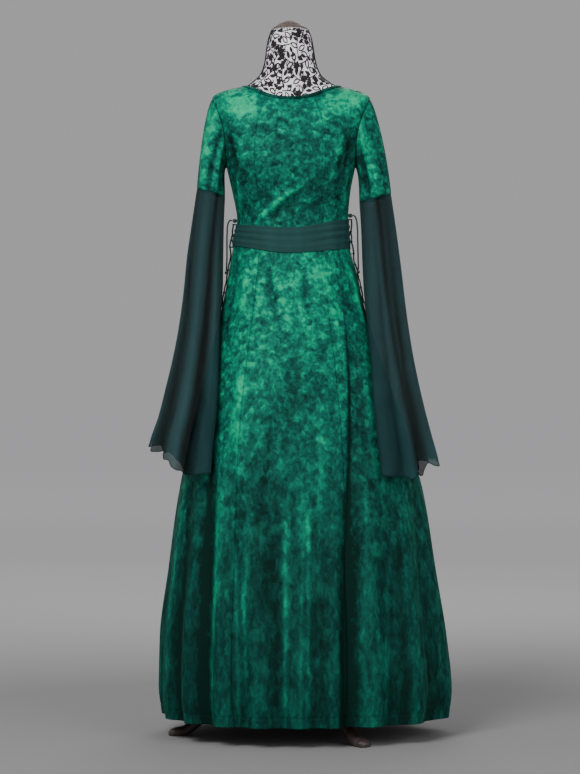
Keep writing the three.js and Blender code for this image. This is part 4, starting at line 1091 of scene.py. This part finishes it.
class GOWN_OT_bell_sleeves(bpy.types.Operator):
    """Hangs the long chiffon bells from the velvet sleeves, with a rolled hem round each"""
    bl_idname = "gown.bell_sleeves"
    bl_label = "Bell sleeves"

    def execute(self, context):
        cloth = context.scene.gown_cloth
        colours = context.scene.gown_colours
        deep, light = colours.chiffon_shaded, colours.chiffon_lit
        sheer = chiffon("sheer chiffon", between(deep, light, (-0.1, 0.3, 0.7, 1.1)), cloth.sheer)
        rolled = chiffon("rolled chiffon hem", between(deep, light, (0, 0.2, 0.4, 0.6)), 1.0)
        place, drop = np.broadcast_arrays(all_round(cloth.sleeve_columns, 360), climbing(0, 1, 132))
        for name, sleeve in SLEEVES.items():
            flat = bell_surface({**sleeve, "folds": (), "creases": ()}, place, drop)
            surface = bell_surface(sleeve, place, drop)
            middle = np.mean(flat, axis=1, keepdims=True)
            relief = from_pole(surface - middle) - from_pole(flat - middle)
            points = placed(surface)
            # painted light on the ridges of the folds and painted shade in their valleys, and painted light
            # and shade along the listed lines
            nap = 0.5 + 0.022 * np.clip(relief, -20, 14)
            for at_seam, at_hem, width, amount in sleeve["light_and_shade_lines"]:
                nap = nap + amount * bell(apart(place, at_seam + (at_hem - at_seam) * drop), width)
            mesh = grid_mesh(f"bell_{name}", points, True, flip=sleeve["side"] > 0, nap=nap)
            hem = tube_rings(np.concatenate((points[-1], points[-1, :1])), BELL_ROLL * MM, 8)[:-1]
            roll_mesh = welded(f"bell_hem_{name}", np.concatenate((hem, hem[:1])), nap=0.4)
            roll = piece(f"bell_hem_{name}", roll_mesh, rolled)
            obj = piece(f"bell_{name}", mesh, sheer, (f"bell_sleeve_{name}",), cloth.chiffon_wall)
            as_cloth(points, closed=True)
        return {"FINISHED"}


class GOWN_OT_sash(bpy.types.Operator):
    """Winds the doubled chiffon sash round the waist, with its knot and tails behind"""
    bl_idname = "gown.sash"
    bl_label = "Sash"

    def execute(self, context):
        cloth = context.scene.gown_cloth
        colours = context.scene.gown_colours
        shades = between(colours.sash_shaded, colours.sash_lit, (0, 0.35, 0.7, 1))
        doubled = chiffon("doubled chiffon", shades, 1.0)
        turn = all_round(300, 360) - 180
        share = climbing(0, 1, 44)
        low = eased(SASH_EDGES, 1, turn)
        run = low + (eased(SASH_EDGES, 2, turn) - low) * share
        sideways = np.abs(np.sin(np.radians(turn))) ** 2
        folds = np.zeros(run.shape)
        for front, side, width, depth in SASH_PLEATS:
            at = front + (side - front) * sideways
            folds += depth * (0.4 + 0.5 * sideways) * bell(share - at, width)
        from_middle = 90 - np.abs(90 - np.abs(turn))
        for at, width, depth in SASH_GATHERS:
            folds = folds + depth * bell(from_middle - at - 5 * (share - 0.5), width) * np.sin(np.pi * share)
        lift = read(SASH_LIFT["place"], SASH_LIFT["lift"], share) + 1.3 + np.maximum(folds, -1.6)
        points = placed(on_waist(turn, run, lift))
        # painted light on the ridges of the pleats and painted shade in their folds
        mesh = grid_mesh("sash_band", points, True, nap=0.5 + 0.04 * folds)
        band = piece("sash_band", mesh, doubled, ("sash",), cloth.sash_wall)
        as_cloth(points, closed=True)
        self.knot(doubled)
        for name, (sense, end) in SASH_TAIL_ENDS.items():
            self.tail(name, sense, end, doubled, cloth.sash_wall)
        return {"FINISHED"}

    def knot(self, material):
        """An egg shape whose surface dips between diagonal wraps, and round a band about its middle."""
        angle = all_round(72)
        rise = climbing(-np.pi / 2, np.pi / 2, 49)
        wraps = 0.07 * np.sin(5 * angle + 4 * rise) * np.cos(rise)
        band = 0.12 * bell(rise, 0.42) - 0.08 * bell(np.abs(rise) - 0.62, 0.16)
        reach = 0.92 + wraps * (1 - bell(rise, 0.42)) + band * (1 + 0.2 * np.sin(9 * angle))
        back = gown_folded(np.array(180.0), np.array(float(SASH_KNOT["z"])))
        centre = np.array((0, back[1] + SASH_KNOT["out"] + SASH_KNOT["deep"], SASH_KNOT["z"]))
        shape = points_of(SASH_KNOT["wide"] * np.cos(rise) * np.cos(angle) * reach,
                          SASH_KNOT["deep"] * np.cos(rise) * np.sin(angle) * reach,
                          SASH_KNOT["tall"] * np.sin(rise) * reach)
        # painted light where the knot bulges and painted shade where it dips
        mesh = welded("sash_bow_knot", placed(centre + shape), nap=0.5 + 1.2 * (reach - 0.92))
        piece("sash_bow_knot", mesh, material, ("sash_knot",))

    def tail(self, name, sense, end, material, wall):
        """A strip that leaves the knot narrow and spreads as it hangs, in soft lengthwise folds."""
        share = climbing(1, 0, 90)
        across = np.linspace(-1, 1, 30)[None, :]
        run = SASH_TAIL["top"] + (end + 6 * np.abs(across) - SASH_TAIL["top"]) * share
        spread = ease(share / SASH_TAIL["spread"] / 1.2)
        middle = 180 - sense * (SASH_TAIL["near"] + (SASH_TAIL["far"] - SASH_TAIL["near"]) * spread)
        width = SASH_TAIL["narrow"] + (SASH_TAIL["width"] - SASH_TAIL["narrow"]) * spread
        turn = middle + across * np.degrees(width / 2 / from_pole(gown_body(middle, run)))
        folds = 1.3 * np.sin(7.5 * across + 1.2 * share + sense) * (0.4 + 0.6 * share)
        lift = SASH_TAIL["gap"] + 1.4 + np.maximum(skirt_relief(turn, run), 0) + np.maximum(folds, -1)
        base = gown_body(turn, run)
        points = placed(base + outward(base) * lift[..., None])
        # painted light on the ridges of the folds and painted shade in their hollows
        mesh = grid_mesh(f"sash_end_{name}", points, nap=0.5 + 0.09 * folds)
        obj = piece(f"sash_end_{name}", mesh, material, (f"sash_tail_{name}",), wall)
        as_cloth(points)


# Cords

def lace_mesh(name, path, around):
    """A cord of three twisted yarns carried along a path."""
    yarn_dip = 0.5 * MM
    return welded(name, capped(tube_rings(path, LACE / 2 * MM, around, 3, LACE_PITCH * MM, yarn_dip)))


def knot_mesh(name, centre, wide, tall):
    """An overhand knot: a bead wound by three ridges."""
    angle = all_round(36)
    rise = climbing(-np.pi / 2, np.pi / 2, 25)
    reach = 0.88 + 0.12 * np.abs(np.cos(1.5 * angle + 2.2 * rise))
    out = wide * np.cos(rise) * reach
    shape = points_of(out * np.cos(angle), out * np.sin(angle), tall * np.sin(rise))
    return welded(name, placed(centre + shape))


class GOWN_OT_ties(bpy.types.Operator):
    """Hangs the free end of each lace from its knot, with an overhand knot at its tip"""
    bl_idname = "gown.ties"
    bl_label = "Free lace ends"

    def execute(self, context):
        cord = twisted_cord("twisted cord")
        for name, lace in TIES.items():
            path = placed(smooth_path(lace["route"], 1.0))
            tie = piece(f"lace_end_{name}", lace_mesh(f"lace_end_{name}", path, 18), cord,
                        (f"tie_{name}",))
            tip = np.array(lace["route"][-1]) - (0, 0, 4.3)
            bead = piece(f"lace_tip_{name}", knot_mesh(f"lace_tip_{name}", tip, 4, 4), cord,
                         (f"tie_end_{name}",))
        return {"FINISHED"}


def lace_lift(turn, run):
    """Height of the lace's middle above the velvet: higher where it crosses the sash."""
    over_sash = run > eased(SASH_EDGES, 1, apart(turn, 0)) - LACE_STEP / 2
    return np.where(over_sash, LACE_LIFT_SASH, LACE_LIFT) + LACE / 2


class GOWN_OT_lacing(bpy.types.Operator):
    """Laces each side seam through small velvet loops, and knots the lace above the sash"""
    bl_idname = "gown.lacing"
    bl_label = "Side lacing"

    def execute(self, context):
        cord = bpy.data.materials["twisted cord"]
        loop_velvet = crushed_velvet("velvet loops", -0.06)
        swings = np.array((-1, 0, 1, 0))
        for name, tie in TIES.items():
            runs = np.arange(tie["knot"][2] - KNOT_TALL - LACE, LACE_BOTTOM - 0.01, -LACE_STEP / 2)
            swing = swings[np.arange(len(runs)) % 4]
            turns = tie["side"] * (90 + LACE_SWING * swing)
            lift = lace_lift(turns, runs)
            path = placed(smooth_path(on_waist(turns, runs, lift), 1.0))
            piece(f"lace_{name}", lace_mesh(f"lace_{name}", path, 16), cord, (f"lacing_{name}",))
            knot = knot_mesh(f"lace_tied_{name}", tie["knot"], 5.5, KNOT_TALL)
            piece(f"lace_tied_{name}", knot, cord, (f"lace_knot_{name}",))
            arcs = [self.loop(*at) for at in zip(turns[::2], runs[::2], lift[::2])]
            loops = weld(grids_mesh(f"lace_loops_{name}", arcs, True))
            piece(f"lace_loops_{name}", loops, loop_velvet)
        return {"FINISHED"}

    def loop(self, turn, run, high):
        """Half an oval tube over the lace, from one side of it to the other."""
        arc = np.linspace(0, np.pi, 13)
        radius = from_pole(gown_body(turn, run))
        turns = turn + np.degrees(4.6 * np.cos(arc) / radius)
        lift = 0.2 + (high + 2.0) * np.sin(arc)
        path = on_waist(turns, np.full_like(arc, run), lift)
        return capped(tube_rings(placed(path), 1.0 * MM, 8))


# Dress form and stand

LACE_MOTIF = (
    # stroke: x, y, angle in degrees, length, bow, half widths at its ends and in its middle, in millimetres
    (0, -17, 84, 34, 3.4, 0.7, 0.8),
    (1.2, -9, 32, 14, 3.4, 0.7, 1.0), (1.2, -9, 32, 14, -3.4, 0.7, 1.0),
    (-0.6, -5, 148, 14, 3.2, 0.7, 1.0), (-0.6, -5, 148, 14, -3.2, 0.7, 1.0),
    (2.2, 2, 38, 12, 0, 0.3, 3.0), (0.8, 6, 144, 11, 0, 0.3, 2.8),
    (-4.5, -14, 200, 10, 0, 0.3, 2.4), (5, -15, -24, 10, 0, 0.3, 2.5),
    (2, 17, 90, 6.5, 0, 0.8, 2.4), (2, 17, 162, 6.5, 0, 0.8, 2.4), (2, 17, 234, 6.5, 0, 0.8, 2.4),
    (2, 17, 306, 6.5, 0, 0.8, 2.4), (2, 17, 18, 6.5, 0, 0.8, 2.4),
    (12, 12, 70, 8, 2.4, 0.6, 0.9), (-11, 11, 110, 8, -2.4, 0.6, 0.9),
)
# Rows of sprays up the neck: lowest, highest and step, distance round it, size of a spray, and the runs
# that the strokes stay between. How far the lace lies off the jersey, and its thickness.
LACE_ROWS = {"low": 1552, "high": 1680, "step": 30.5, "apart": 36.0, "grow": 1.3, "reach": (1538, 1681)}
LACE_LIE = 0.55
LACE_WALL = 0.35


class GOWN_OT_dress_form(bpy.types.Operator):
    """Fills the bodice with the covered dress form, its floral lace and its neck cap"""
    bl_idname = "gown.dress_form"
    bl_label = "Dress form"

    def execute(self, context):
        turn = all_round(120, 360)
        foot = ring_point(FORM_FOOT, np.array(FOOT_RUNS, float)[:, None], turn)
        waist, top = FORM_INSET[0][0], FORM_NECK["run"][-1]
        fine_runs = climbing(waist, NECKLINE, 70)
        body = gown_body(turn, fine_runs)
        inset = read([row[0] for row in FORM_INSET], [row[1] for row in FORM_INSET], fine_runs)
        body = body - outward(body, True) * inset[..., None]
        control = np.concatenate((foot, body))
        keys = np.concatenate((FOOT_RUNS, fine_runs[:, 0]))
        lower = read(keys, control, np.linspace(FOOT_RUNS[0], waist, 30))[:-1]
        neck = ring_point(FORM_NECK, climbing(NECKLINE, top, 48)[1:], turn)
        mesh = welded("form_cover", capped(placed(np.concatenate((lower, body, neck)))))
        piece("form_cover", mesh, knitted_jersey("knitted jersey"), ("form_torso",))
        self.lace()
        cap = lathed(finer(CAP, 3) + (0, CAP_BASE), 72, CAP_DEPTH)
        wood = stained_wood("cap in stained wood", ("3a322c", "554a41", "675b50"), 0.6)
        piece("neck_cap", welded("neck_cap", placed(cap)), wood, ("form_cap",))
        return {"FINISHED"}

    def lace(self):
        """Strokes of yarn, each a bowed line with its own width, repeated in sprays round the neck."""
        black = black_lace("black lace")
        stroke = np.array(LACE_MOTIF)[:, :, None]
        x, y, angle, length, bow, thin, thick = (stroke[:, k] for k in range(7))
        along = np.linspace(0, 1, 8)[None, :]
        swell = np.sin(np.pi * along)
        angle = np.radians(angle)
        cx = x + length * along * np.cos(angle) - bow * swell * np.sin(angle)
        cy = y + length * along * np.sin(angle) + bow * swell * np.cos(angle)
        tx, ty = np.gradient(cx, axis=1), np.gradient(cy, axis=1)
        reach = (thin + (thick - thin) * swell) / np.hypot(tx, ty)
        edges = [np.stack((cx - ty * way, cy + tx * way), -1) for way in (reach, -reach)]
        ribbon = LACE_ROWS["grow"] * np.stack(edges, axis=2)
        grids = []
        sprays = 0
        for row, run in enumerate(np.arange(LACE_ROWS["low"], LACE_ROWS["high"], LACE_ROWS["step"])):
            sides = ("left", "right", "front", "back")
            radius = np.mean([read(FORM_NECK["run"], FORM_NECK[side], run) for side in sides])
            count = int(round(2 * np.pi * radius / LACE_ROWS["apart"]))
            for k in range(count):
                # each spray leans its own way, in fives along a row and in threes up the neck
                lean = np.radians(47 * (sprays % 5) - 94 + 13 * (row % 3))
                turned = np.stack((ribbon[..., 0] * np.cos(lean) - ribbon[..., 1] * np.sin(lean),
                                   ribbon[..., 0] * np.sin(lean) + ribbon[..., 1] * np.cos(lean)), axis=-1)
                turn = 360 * (k + 0.5 * (row % 2)) / count + np.degrees(turned[..., 0] / radius)
                here = np.clip(run + turned[..., 1], *LACE_ROWS["reach"])
                grids.extend(placed(ring_point(FORM_NECK, here, turn, LACE_LIE)))
                sprays += 1
        mesh = grids_mesh("form_lace", [grid.transpose(1, 0, 2) for grid in grids])
        piece("form_lace", mesh, black, (), LACE_WALL * MM)
        for name, turn in (("left", -90.0), ("right", 90.0)):
            path = placed(ring_point(FORM_NECK, np.linspace(1541, 1681, 90), turn, 0.5))
            rings = capped(tube_rings(path, 2.4 * MM, 12, 2, 6 * MM, 0.4 * MM))
            piece(f"form_piping_{name}", welded(f"form_piping_{name}", rings), black)


def finer(profile, parts):
    """A profile's rows with each line between them cut into parts."""
    rows = np.array(profile, float)
    at = np.linspace(0, len(rows) - 1, (len(rows) - 1) * parts + 1)
    return np.stack([np.interp(at, np.arange(len(rows)), rows[:, k]) for k in (0, 1)], axis=-1)


class GOWN_OT_stand(bpy.types.Operator):
    """Turns the pole and hub and carves the three legs, each a superellipse carried on its way out"""
    bl_idname = "gown.stand"
    bl_label = "Stand"

    def execute(self, context):
        wood = stained_wood("dark stained beech", ("231b1c", "3b3130", "564a46"), 0.5)
        for name, profile, solid in (("pole", POLE, "stand_pole"), ("hub", HUB, "stand_hub")):
            mesh = welded(name, placed(lathed(profile, 64)))
            for face in mesh.polygons:
                face.use_smooth = len(face.vertices) == 4
            piece(name, mesh, wood, (solid,))
        step = climbing(0, 8, 97)
        columns = ("out", "height", "wide", "tall")
        out, height, wide, tall = (read(LEG["step"], LEG[column], step) for column in columns)
        slope = np.arctan2(np.gradient(height, axis=0), np.gradient(out, axis=0))
        lean = slope * ease(step) * (1 - ease(step - LEG_LEVEL))
        toe = np.clip((step - LEG_TOE) / (8 - LEG_TOE), 0, 1)
        round_off = np.sqrt(1 - 0.75 * toe**2)
        cos, sin = np.cos(all_round(40)), np.sin(all_round(40))
        across = np.sign(cos) * np.abs(cos) ** (2 / LEG_SQUARE) * wide * round_off
        up = np.sign(sin) * np.abs(sin) ** (2 / LEG_SQUARE) * tall * round_off
        ahead = out - up * np.sin(lean)
        z = np.maximum(height + up * np.cos(lean), 0)
        for name, turn in LEG_TURNS.items():
            way = math.radians(turn - 90)
            x = ahead * math.cos(way) - across * math.sin(way)
            y = ahead * math.sin(way) + across * math.cos(way)
            mesh = welded(f"leg_{name}", capped(placed(points_of(x, y, z))))
            piece(f"leg_{name}", mesh, wood, (f"stand_leg_{name}",))
        return {"FINISHED"}


class GOWN_OT_stage(bpy.types.Operator):
    """Lays the pale floor and sets the camera at the photograph's angle with soft studio light"""
    bl_idname = "gown.stage"
    bl_label = "Stage"

    def execute(self, context):
        scene = context.scene
        stage = scene.gown_stage
        lens = bpy.data.cameras.new("camera")
        lens.sensor_width = 36.0
        lens.lens = lens.sensor_width * stage.camera_distance / stage.frame_height
        camera = bpy.data.objects.new("camera", lens)
        camera.location = (POLE_X, POLE_Y - stage.camera_distance, stage.camera_height)
        camera.rotation_euler = (math.pi / 2, 0, 0)
        scene.collection.objects.link(camera)
        scene.camera = camera

        angle = all_round(96)
        radius = stage.floor_radius * climbing(0, 1, 60) ** 2
        rings = points_of(POLE_X + radius * np.cos(angle), POLE_Y + radius * np.sin(angle), 0.0)
        mesh = grid_mesh("floor", rings, True, flip=True, far=radius)
        ground = bpy.data.objects.new("floor", mesh)
        scene.collection.objects.link(ground)
        near, edge = scene.gown_colours.floor, scene.gown_colours.edge
        mesh.materials.append(floor_with_painted_light("studio floor with painted light", (*near, 1.0), (*edge, 1.0)))

        world = bpy.data.worlds.new("studio")
        world.use_nodes = True
        sky = world.node_tree.nodes["Background"]
        sky.inputs["Color"].default_value = linear("c4c3c5")
        sky.inputs["Strength"].default_value = 0.7
        scene.world = world
        watts = {"key": stage.key_power, "fill": stage.fill_power, "rim": stage.rim_power}
        for name, (spot, size) in LAMPS.items():
            lamp = bpy.data.lights.new(name, "AREA")
            lamp.size = size
            lamp.energy = watts[name]
            light = bpy.data.objects.new(name, lamp)
            light.location = spot
            x, y, z = np.array((POLE_X, POLE_Y, LAMP_AIM)) - spot
            light.rotation_euler = (math.atan2(math.hypot(x, y), -z), 0, math.atan2(-x, y))
            scene.collection.objects.link(light)
        return {"FINISHED"}


OPERATORS = (GOWN_OT_stage, GOWN_OT_ties, GOWN_OT_lacing, GOWN_OT_panels, GOWN_OT_velvet_sleeves,
             GOWN_OT_binding, GOWN_OT_bell_sleeves, GOWN_OT_sash, GOWN_OT_dress_form, GOWN_OT_stand)


class GOWN_PT_panel(bpy.types.Panel):
    """Lists the pieces of the gown and their settings"""
    bl_idname = "GOWN_PT_panel"
    bl_label = "Gown"
    bl_space_type = "VIEW_3D"
    bl_region_type = "UI"
    bl_category = "Gown"

    def draw(self, context):
        for operator in OPERATORS:
            self.layout.operator(operator.bl_idname)
        for group in (context.scene.gown_cloth, context.scene.gown_colours, context.scene.gown_stage):
            box = self.layout.box()
            for setting in group.bl_rna.properties:
                if not setting.is_readonly and setting.identifier != "name":
                    box.prop(group, setting.identifier)


CLASSES = (GownClothSettings, GownColourSettings, GownStageSettings) + OPERATORS + (GOWN_PT_panel,)


def register():
    for cls in CLASSES:
        bpy.utils.register_class(cls)
    bpy.types.Scene.gown_cloth = PointerProperty(type=GownClothSettings)
    bpy.types.Scene.gown_colours = PointerProperty(type=GownColourSettings)
    bpy.types.Scene.gown_stage = PointerProperty(type=GownStageSettings)


def unregister():
    del bpy.types.Scene.gown_stage
    del bpy.types.Scene.gown_colours
    del bpy.types.Scene.gown_cloth
    for cls in reversed(CLASSES):
        bpy.utils.unregister_class(cls)


def main():
    register()
    bpy.ops.gown.stage()
    bpy.ops.gown.ties()
    bpy.ops.gown.lacing()
    bpy.ops.gown.panels()
    bpy.ops.gown.velvet_sleeves()
    bpy.ops.gown.binding()
    bpy.ops.gown.bell_sleeves()
    bpy.ops.gown.sash()
    bpy.ops.gown.dress_form()
    bpy.ops.gown.stand()


if __name__ == "__main__":
    main()
